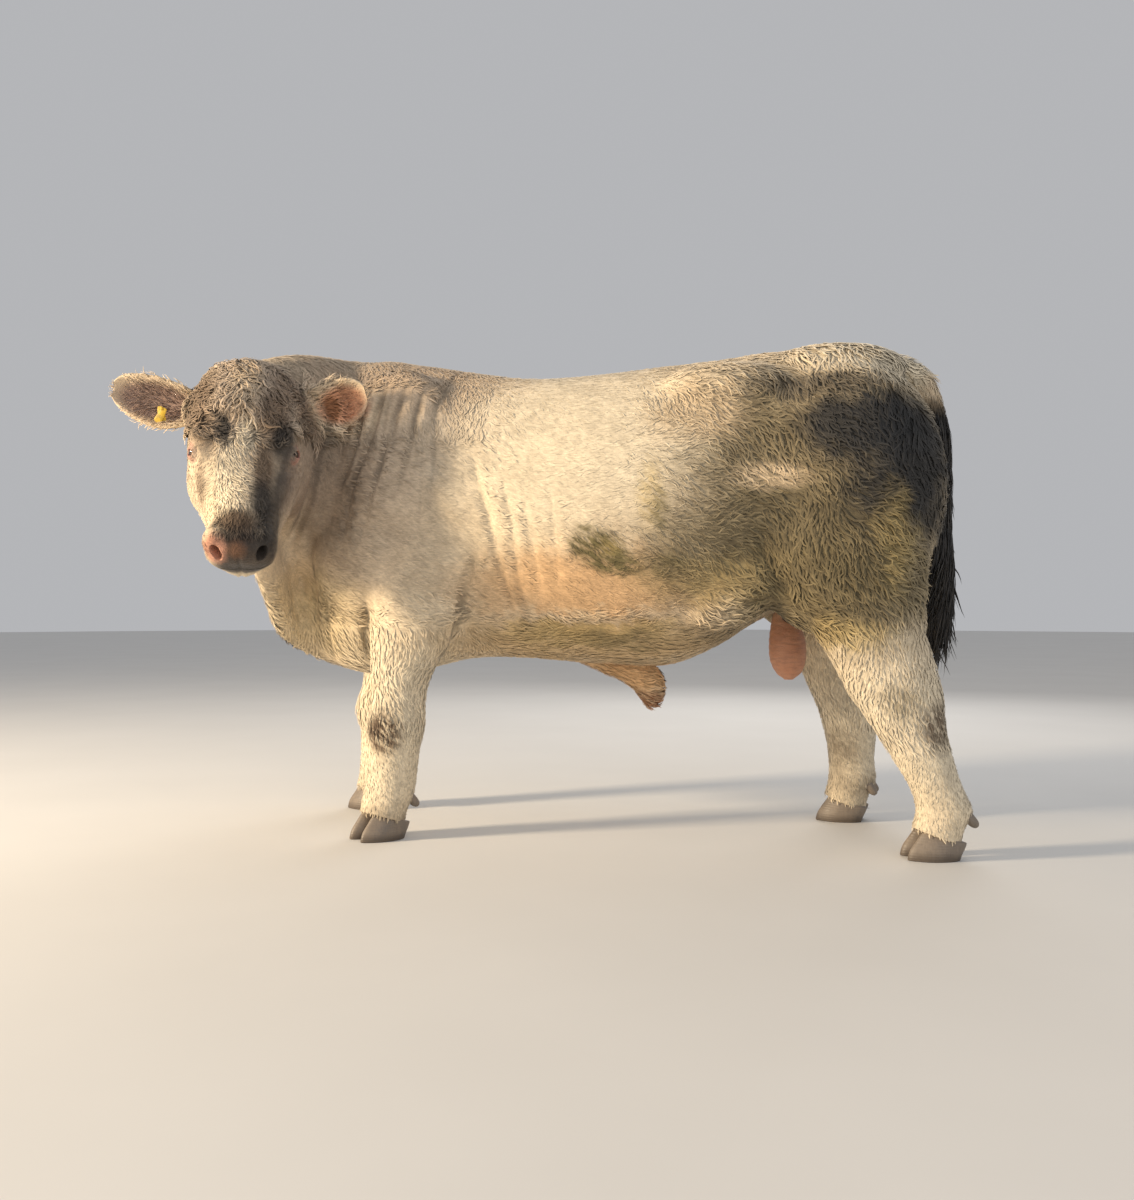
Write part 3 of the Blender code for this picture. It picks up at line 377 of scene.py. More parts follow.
def head_masses():
    """Forehead, brows, cheeks, nose pad, lips and chin."""
    made = [
        head_ball(0.085, -0.045, 0.0, (0.165, 0.066, 0.135)),
        head_ball(0.37, -0.045, 0.0, (0.17, 0.034, 0.060)),
        head_ball(0.545, -0.082, 0.0, (0.046, 0.056, 0.088)),
        head_ball(0.530, -0.160, 0.0, (0.052, 0.034, 0.060)),
    ]
    for side in (-1, 1):
        made += [
            head_ball(0.205, -0.036, 0.100 * side, (0.080, 0.036, 0.044)),
            head_ball(0.318, -0.086, 0.092 * side, (0.085, 0.050, 0.040)),
            head_ball(0.240, -0.195, 0.104 * side, (0.115, 0.105, 0.068)),
            head_ball(0.258, -0.052, 0.106 * side, (0.052, 0.040, 0.033)),
            head_ball(0.360, -0.120, 0.084 * side, (0.085, 0.045, 0.032)),
            head_ball(0.525, -0.064, 0.058 * side, (0.048, 0.042, 0.042)),
            head_ball(0.505, -0.124, 0.056 * side, (0.070, 0.038, 0.046)),
            head_ball(0.085, -0.085, 0.138 * side, (0.050, 0.045, 0.036)),
        ]
    return made


def nostril(side):
    """A comma-shaped hollow at the side of the nose pad."""
    along, out, left = head_axes()
    marks = [
        # a, b, s and half width, from the deep end out
        (0.510, -0.074, 0.050, 0.011),
        (0.550, -0.062, 0.056, 0.0165),
        (0.590, -0.052, 0.064, 0.0205),
        (0.625, -0.046, 0.073, 0.0215),
    ]
    rings = []
    for a, b, s, size in marks:
        tall = (out + left * side * 0.55).normalized()
        wide = tall.cross(along).normalized()
        middle = at_head(a, b, s * side)
        rings.append(oval(middle, wide, tall, size * 0.80, size * 1.25, size * 1.45, 12))
    return skin_rings("nostril", rings)


def mouth_line():
    """A wedge sunk into the muzzle from one corner of the mouth round to the other."""
    count = 19
    rings = []
    for i in range(count):
        turn = math.radians(-112 + 224 * i / (count - 1))
        back = 0.102 * math.cos(turn)
        wide = 0.102 * math.sin(turn)
        rise = -0.128 + 0.010 * math.cos(turn)
        ring = []
        for reach, thick in ((1.25, 0.0055), (1.25, -0.0055), (0.86, -0.0004), (0.86, 0.0004)):
            ring.append(at_head(0.492 + back * reach, rise + thick, wide * reach))
        rings.append(ring)
    return skin_rings("mouth_line", rings)


def eye_axes(side):
    """Centre of the eye, and its forward, upward and outward ways."""
    along, out, left = head_axes()
    forward = (along * 0.62 + out * 0.78).normalized()
    outward = (left * side * 0.90 + forward * 0.40 + out * 0.06).normalized()
    upward = outward.cross(forward).normalized()
    if upward.dot(out - along) < 0:
        upward = -upward
    forward = upward.cross(outward).normalized()
    if forward.dot(along) < 0:
        forward = -forward
    a, b, s = EYE_PLACE
    return at_head(a, b, s * side), forward, upward, outward


def lids(side):
    """A ball of skin round the eyeball, which the opening is then cut into."""
    a, b, s = EYE_PLACE
    size = EYE_RADIUS + LID_THICK
    return head_ball(a, b, s * side, (size * 1.10, size, size))


def eye_opening(side):
    """An almond-shaped wedge between the lids, out from the eyeball."""
    centre, forward, upward, outward = eye_axes(side)
    rings = []
    for share, reach in ((1.0, 0.3), (1.0, 0.8), (1.15, 1.5), (1.6, 2.4)):
        middle = centre + outward * EYE_RADIUS * reach
        long, above, below = (size * share for size in EYE_SLIT)
        rings.append(oval(middle, forward, upward, long, above, below, 14, 1.55))
    return skin_rings("eye_opening", rings)


# Slices down each leg to the fetlock: x, y, z, half length, half width.
LEG_SLICES = {
    "fore_left": [
        (0.20, -0.250, 0.90, 0.17, 0.085),
        (0.225, -0.262, 0.74, 0.165, 0.100),
        (0.205, -0.268, 0.62, 0.140, 0.100),
        (0.165, -0.266, 0.51, 0.100, 0.085),
        (0.150, -0.262, 0.42, 0.080, 0.078),
        (0.138, -0.262, 0.335, 0.088, 0.084),
        (0.136, -0.264, 0.255, 0.076, 0.074),
    ],
    "fore_right": [
        (0.06, 0.235, 0.90, 0.17, 0.085),
        (0.05, 0.242, 0.74, 0.165, 0.100),
        (0.02, 0.240, 0.62, 0.140, 0.100),
        (-0.03, 0.235, 0.51, 0.100, 0.085),
        (-0.055, 0.230, 0.42, 0.080, 0.078),
        (-0.072, 0.228, 0.335, 0.088, 0.084),
        (-0.070, 0.228, 0.255, 0.074, 0.072),
    ],
    "hind_left": [
        (1.43, -0.235, 0.93, 0.23, 0.13),
        (1.43, -0.255, 0.76, 0.215, 0.130),
        (1.475, -0.268, 0.63, 0.160, 0.112),
        (1.520, -0.275, 0.53, 0.140, 0.092),
        (1.555, -0.278, 0.44, 0.128, 0.082),
        (1.590, -0.280, 0.35, 0.100, 0.078),
        (1.628, -0.282, 0.26, 0.084, 0.072),
        (1.660, -0.284, 0.19, 0.074, 0.070),
    ],
    "hind_right": [
        (1.38, 0.235, 0.93, 0.23, 0.13),
        (1.36, 0.255, 0.76, 0.215, 0.130),
        (1.395, 0.265, 0.63, 0.160, 0.112),
        (1.430, 0.266, 0.53, 0.140, 0.092),
        (1.450, 0.266, 0.44, 0.125, 0.082),
        (1.462, 0.266, 0.35, 0.098, 0.078),
        (1.468, 0.266, 0.26, 0.082, 0.072),
        (1.470, 0.266, 0.19, 0.074, 0.070),
    ],
}
# The last slices, under knee or hock: forward of the foot, height, half length, half width.
FOOT_SLICES = [
    (-0.018, 0.128, 0.078, 0.076),
    (0.000, 0.080, 0.072, 0.074),
    (0.010, 0.020, 0.070, 0.074),
]


def leg_form(foot):
    """A leg, whose last slices follow the foot, which may be turned out."""
    (fx, fy), degrees = FEET[foot]
    way = Vector((math.cos(math.radians(degrees)), math.sin(math.radians(degrees))))
    slices = list(LEG_SLICES[foot])
    for ahead, z, long, wide in FOOT_SLICES:
        slices.append((fx + ahead * way.x, fy + ahead * way.y, z, long, wide))
    rings = []
    for x, y, z, long, wide in smooth_rows(slices, 4):
        rings.append(oval(Vector((x, y, z)), ACROSS, AFT, wide, long, long, 28, 2.1))
    return skin_rings(foot, rings)


def positions(body):
    places = np.empty(len(body.data.vertices) * 3)
    body.data.vertices.foreach_get("co", places)
    return places.reshape(-1, 3)


def head_plane():
    """A point on the cut behind the jaw and poll, and the direction towards the head."""
    along, out, left = head_axes()
    start = at_head(-0.045, 0.0, 0.0)
    down = (along * 0.40 - out * 0.917).normalized()
    towards = left.cross(down)
    if towards.dot(along) < 0:
        towards = -towards
    return start, towards, down, left


def neck_plane():
    """A point on the cut before the shoulders, and the direction towards the neck."""
    return Vector((-0.085, 0.0, 1.45)), Vector((-1.0, -0.36, 0.141)).normalized()


def in_regions(places):
    """Which region each point belongs to: head, neck, torso or legs."""
    start, towards, down, left = head_plane()
    moved = places - np.array(start)
    ahead = moved @ np.array(towards)
    below = moved @ np.array(down)
    across = np.abs(moved @ np.array(left))
    head = (ahead > 0) & (below < 0.53) & (across < 0.21)
    point, normal = neck_plane()
    neck = ((places - np.array(point)) @ np.array(normal) > 0) & ~head
    legs = (places[:, 2] < 0.66) & (np.abs(places[:, 1]) > 0.10) & ~head & ~neck
    belly = (places[:, 0] > 0.40) & (places[:, 0] < 1.12)
    legs &= ~belly
    torso = ~(head | neck | legs)
    return {"head": head, "neck": neck, "torso": torso, "legs": legs}


def soften(body, name, rounds):
    chosen = in_regions(positions(body))[name]
    group = body.vertex_groups.new(name=name)
    group.add([int(i) for i in np.nonzero(chosen)[0]], 1.0, "REPLACE")
    step = body.modifiers.new("soften", "SMOOTH")
    step.vertex_group = name
    step.factor = 0.6
    step.iterations = rounds
    bake(body)
    body.vertex_groups.clear()


def coronet_plane(foot):
    """A point on the band above the hoof, the way out of the leg, and the toe's way."""
    (fx, fy), degrees = FEET[foot]
    way = Vector((math.cos(math.radians(degrees)), math.sin(math.radians(degrees)), 0))
    normal = (way * RIM_SLOPE - UPWARD).normalized()
    return Vector((fx, fy, RIM_HEIGHT)), normal, way


def dewclaw(foot, side):
    """A blunt horn cone rooted behind the fetlock."""
    point, normal, way = coronet_plane(foot)
    across = Vector((-way.y, way.x, 0)) * side
    start = Vector((point.x, point.y, 0.125)) - way * 0.060 + across * 0.033
    tip = start - way * 0.034 + across * 0.005 - Vector((0, 0, 0.036))
    along = (tip - start).normalized()
    up = (UPWARD - along * UPWARD.dot(along)).normalized()
    cross = along.cross(up)
    rings = []
    for share, size in ((-0.35, 0.018), (0.45, 0.019), (0.85, 0.015), (1.0, 0.007)):
        rings.append(oval(start + (tip - start) * share, cross, up, size, size * 0.9, size * 0.9, 8))
    return skin_rings("dewclaw", rings)


def tail_rows():
    return [
        (1.500, 0.0, 1.365, 0.055, 0.040, 0.040),
        (1.575, 0.0, 1.372, 0.050, 0.040, 0.040),
        (1.640, -0.002, 1.335, 0.043, 0.040, 0.040),
        (1.682, -0.004, 1.250, 0.038, 0.036, 0.036),
        (1.698, -0.006, 1.13, 0.035, 0.034, 0.034),
        (1.701, -0.006, 1.00, 0.034, 0.033, 0.033),
        (1.700, -0.006, 0.885, 0.034, 0.033, 0.033),
    ]


def switch_rows():
    return [
        (1.700, -0.006, 0.8847, 0.034, 0.033, 0.033),
        (1.700, -0.006, 0.82, 0.036, 0.034, 0.034),
        (1.698, -0.008, 0.74, 0.036, 0.034, 0.034),
        (1.696, -0.010, 0.66, 0.032, 0.030, 0.030),
        (1.692, -0.012, 0.58, 0.022, 0.020, 0.020),
        (1.690, -0.014, 0.54, 0.008, 0.008, 0.008),
    ]


def hanging_rings(rows, count):
    """Rings across a path that bends from level to hanging, in the plane y = 0."""
    rows = np.asarray(rows, float)
    ways = np.gradient(rows[:, :3], axis=0)
    rings = []
    for row, way in zip(rows, ways):
        along = Vector(way).normalized()
        side = (ACROSS - along * ACROSS.dot(along)).normalized()
        up = side.cross(along)
        rings.append(oval(Vector(row[:3]), side, up, row[3], row[4], row[5], count))
    return rings


# The ears, by side: root in the head's frame, way from root to tip, way the cup opens
EAR_ROOTS = {-1: (0.070, -0.085, -0.144), 1: (0.055, -0.112, 0.142)}
EAR_WAYS = {-1: Vector((-0.240, -0.035, 0.050)), 1: Vector((0.205, 0.000, 0.045))}
EAR_CUPS = {-1: Vector((0.25, -0.92, -0.18)), 1: Vector((0.34, -0.90, -0.16))}


def ear_axes(side):
    """Root, length, cup and edge directions of an ear."""
    start = at_head(*EAR_ROOTS[side])
    way = EAR_WAYS[side]
    along = way.normalized()
    cup = EAR_CUPS[side]
    front = (cup - along * cup.dot(along)).normalized()
    down = (along * along.z - UPWARD).normalized()
    down = (down - front * down.dot(front)).normalized()
    return start, way, along, front, down


def ear(side):
    """A cupped leaf: each ring is a crescent, open on the cup side."""
    start, way, along, front, down = ear_axes(side)
    rings = []
    outline = [
        # share of the length, half width, depth of the cup, thickness, drop
        (-0.14, 0.036, 0.022, 0.022, 0.004),
        (0.00, 0.046, 0.034, 0.015, 0.004),
        (0.14, 0.059, 0.043, 0.0105, 0.006),
        (0.36, 0.070, 0.044, 0.0085, 0.009),
        (0.56, 0.070, 0.038, 0.0080, 0.006),
        (0.76, 0.060, 0.026, 0.0075, 0.001),
        (0.90, 0.044, 0.014, 0.0065, -0.003),
        (0.97, 0.026, 0.006, 0.0050, -0.004),
    ]
    for share, half, deep, thick, lower in smooth_rows(outline, 5):
        middle = start + way * share + down * lower
        ring = []
        for i in range(19):
            u = -1 + 2 * i / 18
            ring.append(middle + down * half * u - front * (deep * (1 - u * u) + thick * 0.5))
        for i in range(17):
            u = 1 - 2 * (i + 1) / 18
            ring.append(middle + down * half * 0.95 * u - front * (deep * (1 - u * u) - thick * 0.5))
        rings.append(ring)
    return skin_rings("ear", rings)


def tail_form():
    rings = hanging_rings(smooth_rows(tail_rows() + switch_rows()[1:], 5), 24)
    return skin_rings("tail_form", rings)


def triangles_of(body):
    """Corner numbers of the mesh's triangles; the mesh is triangulated first."""
    work = bmesh.new()
    work.from_mesh(body.data)
    bmesh.ops.triangulate(work, faces=work.faces[:])
    work.to_mesh(body.data)
    work.free()
    corners = np.empty(len(body.data.loops), np.int32)
    body.data.loops.foreach_get("vertex_index", corners)
    return corners.reshape(-1, 3)


def set_positions(body, places):
    body.data.vertices.foreach_set("co", np.ascontiguousarray(places, float).ravel())
    body.data.update()


def vertex_normals(places, corners):
    a, b, c = (places[corners[:, i]] for i in range(3))
    flat = np.cross(b - a, c - a)
    made = np.zeros_like(places)
    for i in range(3):
        for axis in range(3):
            made[:, axis] += np.bincount(corners[:, i], flat[:, axis], len(places))
    return unit(made, 1e-12)


def relaxed(places, corners, weight, rounds):
    """Moves points towards the middle of their neighbours, as far as the weight says."""
    ends = np.vstack([corners[:, [0, 1]], corners[:, [1, 2]], corners[:, [2, 0]]])
    ends = np.vstack([ends, ends[:, ::-1]])
    total = np.maximum(np.bincount(ends[:, 0], minlength=len(places)), 1)[:, None]
    places = places.copy()
    for step in range(rounds):
        middle = np.empty_like(places)
        for axis in range(3):
            middle[:, axis] = np.bincount(ends[:, 0], places[ends[:, 1], axis], len(places))
        places += (middle / total - places) * (0.6 * weight[:, None])
    return places


def finer(body, chosen):
    """Splits the faces whose corners are all chosen, once."""
    work = bmesh.new()
    work.from_mesh(body.data)
    work.verts.ensure_lookup_table()
    picked = [e for e in work.edges if chosen[e.verts[0].index] and chosen[e.verts[1].index]]
    bmesh.ops.subdivide_edges(work, edges=picked, cuts=1, use_grid_fill=True, smooth=0.6)
    bmesh.ops.triangulate(work, faces=work.faces[:])
    work.to_mesh(body.data)
    work.free()


def near(places, spot, radius):
    """1 at a spot, falling smoothly to 0 at the radius."""
    share = np.linalg.norm(places - np.array(spot), axis=1) / radius
    return np.clip(1 - share, 0, 1) ** 2 * (3 - 2 * np.clip(1 - share, 0, 1))


def window(values, low, high, soft):
    """1 between low and high, with soft ends."""
    rise = np.clip((values - low) / soft, 0, 1)
    fall = np.clip((high - values) / soft, 0, 1)
    return rise * rise * (3 - 2 * rise) * fall * fall * (3 - 2 * fall)


def head_places(places):
    """Positions in the head's frame: along the face, out of it, and to the left."""
    along, out, left = (np.array(v) for v in head_axes())
    moved = places - np.array(POLL)
    return np.stack([moved @ along, moved @ out, moved @ left], axis=1)


# Creases that show on the near side, each a path of a few points with its depth and half width.
NEAR_CREASES = [
    ([(-0.050, -0.330, 1.215), (-0.050, -0.382, 1.09), (-0.082, -0.370, 0.97),
      (-0.144, -0.328, 0.886), (-0.189, -0.300, 0.81)],
     0.022, 0.016),
    ([(0.127, -0.275, 1.345), (0.090, -0.338, 1.185), (0.017, -0.339, 0.98), (-0.007, -0.344, 0.85)],
     0.011, 0.011),
    ([(0.180, -0.292, 1.314), (0.147, -0.340, 1.18), (0.084, -0.349, 0.98), (0.047, -0.350, 0.84)],
     0.008, 0.012),
    ([(0.074, -0.242, 1.357), (0.037, -0.335, 1.155), (-0.020, -0.330, 1.00)],
     0.012, 0.010),
    ([(-0.015, -0.142, 1.397), (-0.006, -0.288, 1.25), (-0.029, -0.335, 1.13)],
     0.009, 0.010),
    ([(0.231, -0.283, 1.299), (0.207, -0.335, 1.153), (0.160, -0.345, 0.98)],
     0.006, 0.010),
    ([(-0.090, -0.346, 0.94), (-0.128, -0.272, 0.813), (-0.143, -0.202, 0.694),
      (-0.147, -0.146, 0.587)],
     0.008, 0.015),
    ([(-0.165, -0.269, 0.827), (-0.198, -0.203, 0.694), (-0.199, -0.136, 0.572)],
     0.004, 0.012),
    ([(-0.060, -0.320, 0.84), (-0.092, -0.240, 0.68), (-0.107, -0.169, 0.574),
      (-0.129, -0.045, 0.493)],
     0.006, 0.015),
]
# Creases that both sides have, given for the left one.
SIDE_CREASES = [
    ([(0.068, -0.324, 0.70), (0.035, -0.240, 0.60), (0.020, -0.170, 0.53)],
     0.012, 0.015),
    ([(0.402, -0.356, 0.842), (0.361, -0.327, 0.726), (0.331, -0.288, 0.606), (0.300, -0.200, 0.53)],
     0.012, 0.016),
    ([(0.370, -0.345, 1.16), (0.399, -0.351, 1.044), (0.434, -0.365, 0.934), (0.457, -0.362, 0.83),
      (0.484, -0.335, 0.725), (0.505, -0.266, 0.618)],
     0.0060, 0.014),
    ([(0.472, -0.358, 1.06), (0.503, -0.374, 0.914), (0.520, -0.352, 0.751), (0.551, -0.264, 0.609)],
     0.0040, 0.012),
    ([(0.539, -0.377, 0.974), (0.566, -0.377, 0.833), (0.586, -0.335, 0.693)],
     0.0030, 0.012),
    ([(0.614, -0.378, 1.027), (0.630, -0.387, 0.862), (0.639, -0.342, 0.694)],
     0.0025, 0.012),
    ([(0.520, -0.290, 0.606), (0.692, -0.320, 0.618), (0.850, -0.318, 0.614), (0.905, -0.260, 0.560)],
     0.008, 0.014),
    ([(0.962, -0.167, 0.544), (1.057, -0.301, 0.625), (1.154, -0.323, 0.676), (1.273, -0.319, 0.690)],
     0.007, 0.015),
    ([(1.273, -0.319, 0.720), (1.217, -0.332, 0.798), (1.170, -0.349, 0.88)],
     0.008, 0.022),
]
BELLY_RIDGE = [(0.479, -0.230, 0.590), (0.543, -0.285, 0.640), (0.692, -0.311, 0.652),
               (0.836, -0.313, 0.650), (0.895, -0.285, 0.610)]
NECK_WRINKLES = 11


def along_path(places, path, wide):
    """1 on a smooth path through the points, falling to 0 beside it and towards its ends."""
    line = np.array(smooth_rows(path, 6))
    made = np.zeros(len(places))
    low, high = line.min(axis=0) - 3 * wide, line.max(axis=0) + 3 * wide
    close = np.all((places > low) & (places < high), axis=1)
    spots = places[close]
    best = np.full(len(spots), 9.0)
    share = np.zeros(len(spots))
    for i in range(len(line) - 1):
        step = line[i + 1] - line[i]
        part = np.clip((spots - line[i]) @ step / (step @ step), 0, 1)
        reach = np.linalg.norm(spots - line[i] - part[:, None] * step, axis=1)
        nearer = reach < best
        best[nearer] = reach[nearer]
        share[nearer] = (i + part[nearer]) / (len(line) - 1)
    fade = np.clip(np.sin(math.pi * np.clip(share, 0.03, 0.97)) * 1.7, 0, 1)
    made[close] = np.exp(-(best / wide) ** 2) * fade
    return made


def neck_folds(places):
    """How deep the creases of neck, shoulder and flank are at each point."""
    draw = np.random.default_rng(3)
    x, y, z = places.T
    aside = np.clip((np.abs(y) - 0.02) / 0.10, 0, 1)
    deep = np.zeros(len(places))
    for i in range(NECK_WRINKLES):
        start = -0.14 + 0.042 * i + draw.uniform(-0.016, 0.016)
        lean = draw.uniform(0.16, 0.34) * (1 - 0.8 * i / NECK_WRINKLES)
        low = draw.uniform(0.86, 1.14)
        high = draw.uniform(1.36, 1.48)
        size = draw.uniform(0.0018, 0.0045)
        wide = draw.uniform(0.007, 0.011)
        sway = 0.006 * np.sin(z * draw.uniform(14, 24) + draw.uniform(0, 6) + (y > 0) * 2.0)
        off = (x - start - lean * (z - 1.15) - sway) / wide
        deep += size * np.exp(-off * off) * window(z, low, high, 0.10)
    deep *= aside
    mirrored = places * np.array([1.0, -1.0, 1.0])
    for path, size, wide in NEAR_CREASES:
        deep += size * along_path(places, path, wide)
    for path, size, wide in SIDE_CREASES:
        deep += size * (along_path(places, path, wide) + along_path(mirrored, path, wide))
    ridge = along_path(places, BELLY_RIDGE, 0.016) + along_path(mirrored, BELLY_RIDGE, 0.016)
    return deep - 0.005 * ridge


def throat_folds(places):
    """Loose folds that hang from jaw and throat to the brisket, on the far side of the neck."""
    x, y, z = places.T
    run = np.arctan2(y + 0.06, x - 0.20)
    turn = (26 * run + 2.5 * (z - 0.8) + 0.5 * np.sin(9 * z)) / math.pi
    groove = np.exp(-((turn - np.round(turn)) / 0.17) ** 2)
    size = 0.0035 + 0.0020 * np.sin(2.4 * np.round(turn)) * np.sin(7 * z)
    place = window(z, 0.54, 1.04, 0.20) * window(x, -0.36, -0.02, 0.06) * window(y, -0.14, 0.32, 0.08)
    return size * groove * place


def head_folds(places):
    """Wrinkles round the eyes, a furrow down the cheek and the soft pleats of the muzzle."""
    a, b, s = head_places(places).T
    deep = np.zeros(len(places))
    for side in (-1, 1):
        ea, eb = EYE_PLACE[:2]
        out = np.hypot(a - ea, (b - eb) * 1.1)
        beside = (s * side > 0.075) * 1.0
        for ring, size in ((0.034, 0.0024), (0.045, 0.0018), (0.057, 0.0013)):
            off = (out - ring - 0.004 * np.sin(3 * np.arctan2(b - eb, a - ea))) / 0.0042
            deep += size * np.exp(-off * off) * beside
        line = (b + 0.085 + 0.10 * (a - 0.32)) / 0.012
        deep += 0.0050 * np.exp(-line * line) * window(a, 0.27, 0.46, 0.06) * beside
        crest = (b + 0.125 + 0.20 * (a - 0.32)) / 0.016
        deep -= 0.0060 * np.exp(-crest * crest) * window(a, 0.24, 0.44, 0.06) * beside
        brow = np.hypot((a - 0.205) / 0.045, (b + 0.030) / 0.030)
        deep -= 0.0070 * np.exp(-brow * brow) * beside
        ring = np.hypot(np.hypot(a - 0.605, (b + 0.048) * 0.8), (s - 0.066 * side))
        off = (ring - 0.0285) / 0.007
        deep -= 0.0050 * np.exp(-off * off)
        mouth = (b + 0.128 - 0.25 * np.clip(0.50 - a, 0, 1)) / 0.010
        deep += 0.0040 * np.exp(-mouth * mouth) * window(a, 0.40, 0.56, 0.04) * beside
    deep += 0.0040 * np.exp(-(s / 0.006) ** 2) * window(a, 0.56, 0.66, 0.02) * (b < -0.05)
    for i in range(5):
        off = (a - 0.430 - 0.017 * i - 0.010 * np.cos(s * 30)) / 0.0050
        deep += 0.0018 * np.exp(-off * off) * window(np.abs(s), 0.035, 0.10, 0.02) * (b > -0.16)
    return deep


# The skin: the same forms run together, with lids, folds, ears and tail, all one surface


def body_core():
    forms = [torso_form(), neck_form(), dewlap_form(), head_form()]
    forms += muscle_forms() + head_masses()
    forms += [leg_form(foot) for foot in FEET]
    body = joined("bull_skin", forms)
    step = body.modifiers.new("run together", "REMESH")
    step.mode = "VOXEL"
    step.voxel_size = VOXEL
    bake(body)
    soften(body, "torso", 38)
    soften(body, "neck", 32)
    soften(body, "legs", 6)
    soften(body, "head", 8)
    return body


def bull_skin():
    body = body_core()
    places = positions(body)
    regions = in_regions(places)
    x, y, z = places.T
    fine = regions["head"] | regions["neck"] | ((x < 0.50) & (z > 0.55) & (np.abs(y) > 0.10))
    finer(body, fine)
    places = positions(body)
    a, b, s = head_places(places).T
    finer(body, in_regions(places)["head"] & (a > 0.16) & (b > -0.26))
    corners = triangles_of(body)
    places = positions(body)
    normals = vertex_normals(places, corners)
    depth = np.full(len(places), COAT_DEPTH)
    a, b, s = head_places(places).T
    bare = window(a, 0.50, 0.70, 0.05) * (np.abs(s) < 0.12) * (b > -0.25)
    depth -= 0.003 * bare
    depth += neck_folds(places) + head_folds(places) + throat_folds(places)
    set_positions(body, places - normals * depth[:, None])
    feet = [foot_block(foot) for foot in FEET]
    for block in feet:
        boolean(body, block, "DIFFERENCE")
    drop(*feet)
    extra = [ear(-1), ear(1), lids(-1), lids(1), tail_form(), sheath_form()]
    for piece in extra:
        boolean(body, piece, "UNION")
    drop(*extra)
    for cutter in (nostril(-1), nostril(1), mouth_line(), eye_opening(-1), eye_opening(1)):
        boolean(body, cutter, "DIFFERENCE")
        drop(cutter)
    for side in (-1, 1):
        socket = eyeball(side, EYE_RADIUS)
        boolean(body, socket, "DIFFERENCE")
        drop(socket)
    corners = triangles_of(body)
    places = positions(body)
    weight = np.zeros(len(places))
    for side in (-1, 1):
        weight = np.maximum(weight, near(places, at_head(*EAR_ROOTS[side]), 0.085))
        eye_spot = at_head(EYE_PLACE[0], EYE_PLACE[1], EYE_PLACE[2] * side)
        weight = np.maximum(weight, 0.35 * near(places, eye_spot, 0.060))
        weight = np.maximum(weight, near(places, at_head(0.60, -0.05, 0.063 * side), 0.050))
    weight = np.maximum(weight, near(places, (1.56, 0, 1.36), 0.13))
    weight = np.maximum(weight, near(places, (0.66, 0, 0.52), 0.12))
    set_positions(body, relaxed(places, corners, weight, 4))
    return body


def sheath_form():
    rows = [
        (0.64, 0.0, 0.535, 0.030, 0.028, 0.020),
        (0.715, 0.0, 0.512, 0.039, 0.037, 0.031),
        (0.790, 0.0, 0.492, 0.047, 0.047, 0.043),
        (0.840, 0.0, 0.462, 0.049, 0.051, 0.049),
        (0.858, 0.0, 0.420, 0.038, 0.040, 0.040),
        (0.862, 0.0, 0.374, 0.016, 0.016, 0.016),
    ]
    return skin_rings("sheath", hanging_rings(smooth_rows(rows, 5), 28))


def foot_block(foot):
    point, normal, way = coronet_plane(foot)
    side = normal.cross(way).normalized()
    ahead = side.cross(normal)
    corners = []
    for n in (0.0, 0.4):
        for d in (-0.3, 0.3):
            for s in (-0.3, 0.3):
                corners.append(point + normal * n + ahead * d + side * s)
    faces = [(0, 1, 3, 2), (4, 6, 7, 5), (0, 4, 5, 1), (2, 3, 7, 6), (0, 2, 6, 4), (1, 5, 7, 3)]
    return mesh_object("foot_block", corners, faces)


def eyeball(side, size):
    """A ball with rings round the way the eye looks and a slightly bulged cornea."""
    centre, forward, upward, outward = eye_axes(side)
    rings = []
    for i in range(1, 24):
        angle = math.pi * i / 24
        bulge = 1.0 + 0.030 * max(0.0, math.cos(angle) - 0.80) / 0.20
        middle = centre + outward * size * bulge * math.cos(angle)
        reach = size * math.sin(angle)
        rings.append(oval(middle, forward, upward, reach, reach, reach, 32))
    return skin_rings("eyeball", rings)


# The unwrap of the skin: flat charts by region and facing, packed in rows


CHART_MARGIN = 0.004
CHART_EDGE = 0.02
CHART_GAP = 0.03
HEAD_CHART_SCALE = 1.9
TUFT_PATCH = 0.003


def chart_region(places):
    """The number of the region that each place belongs to, for the unwrap."""
    regions = in_regions(places)
    x, y, z = places.T
    made = np.full(len(places), 7)
    made[regions["torso"]] = 2
    made[regions["neck"]] = 1
    made[regions["head"]] = 0
    legs = regions["legs"]
    made[legs & (x < 0.8) & (y < 0)] = 3
    made[legs & (x < 0.8) & (y >= 0)] = 4
    made[legs & (x >= 0.8) & (y < 0)] = 5
    made[legs & (x >= 0.8) & (y >= 0)] = 6
    made[(x > 1.60) & (np.abs(y) < 0.09) & (z > 0.45)] = 7
    return made


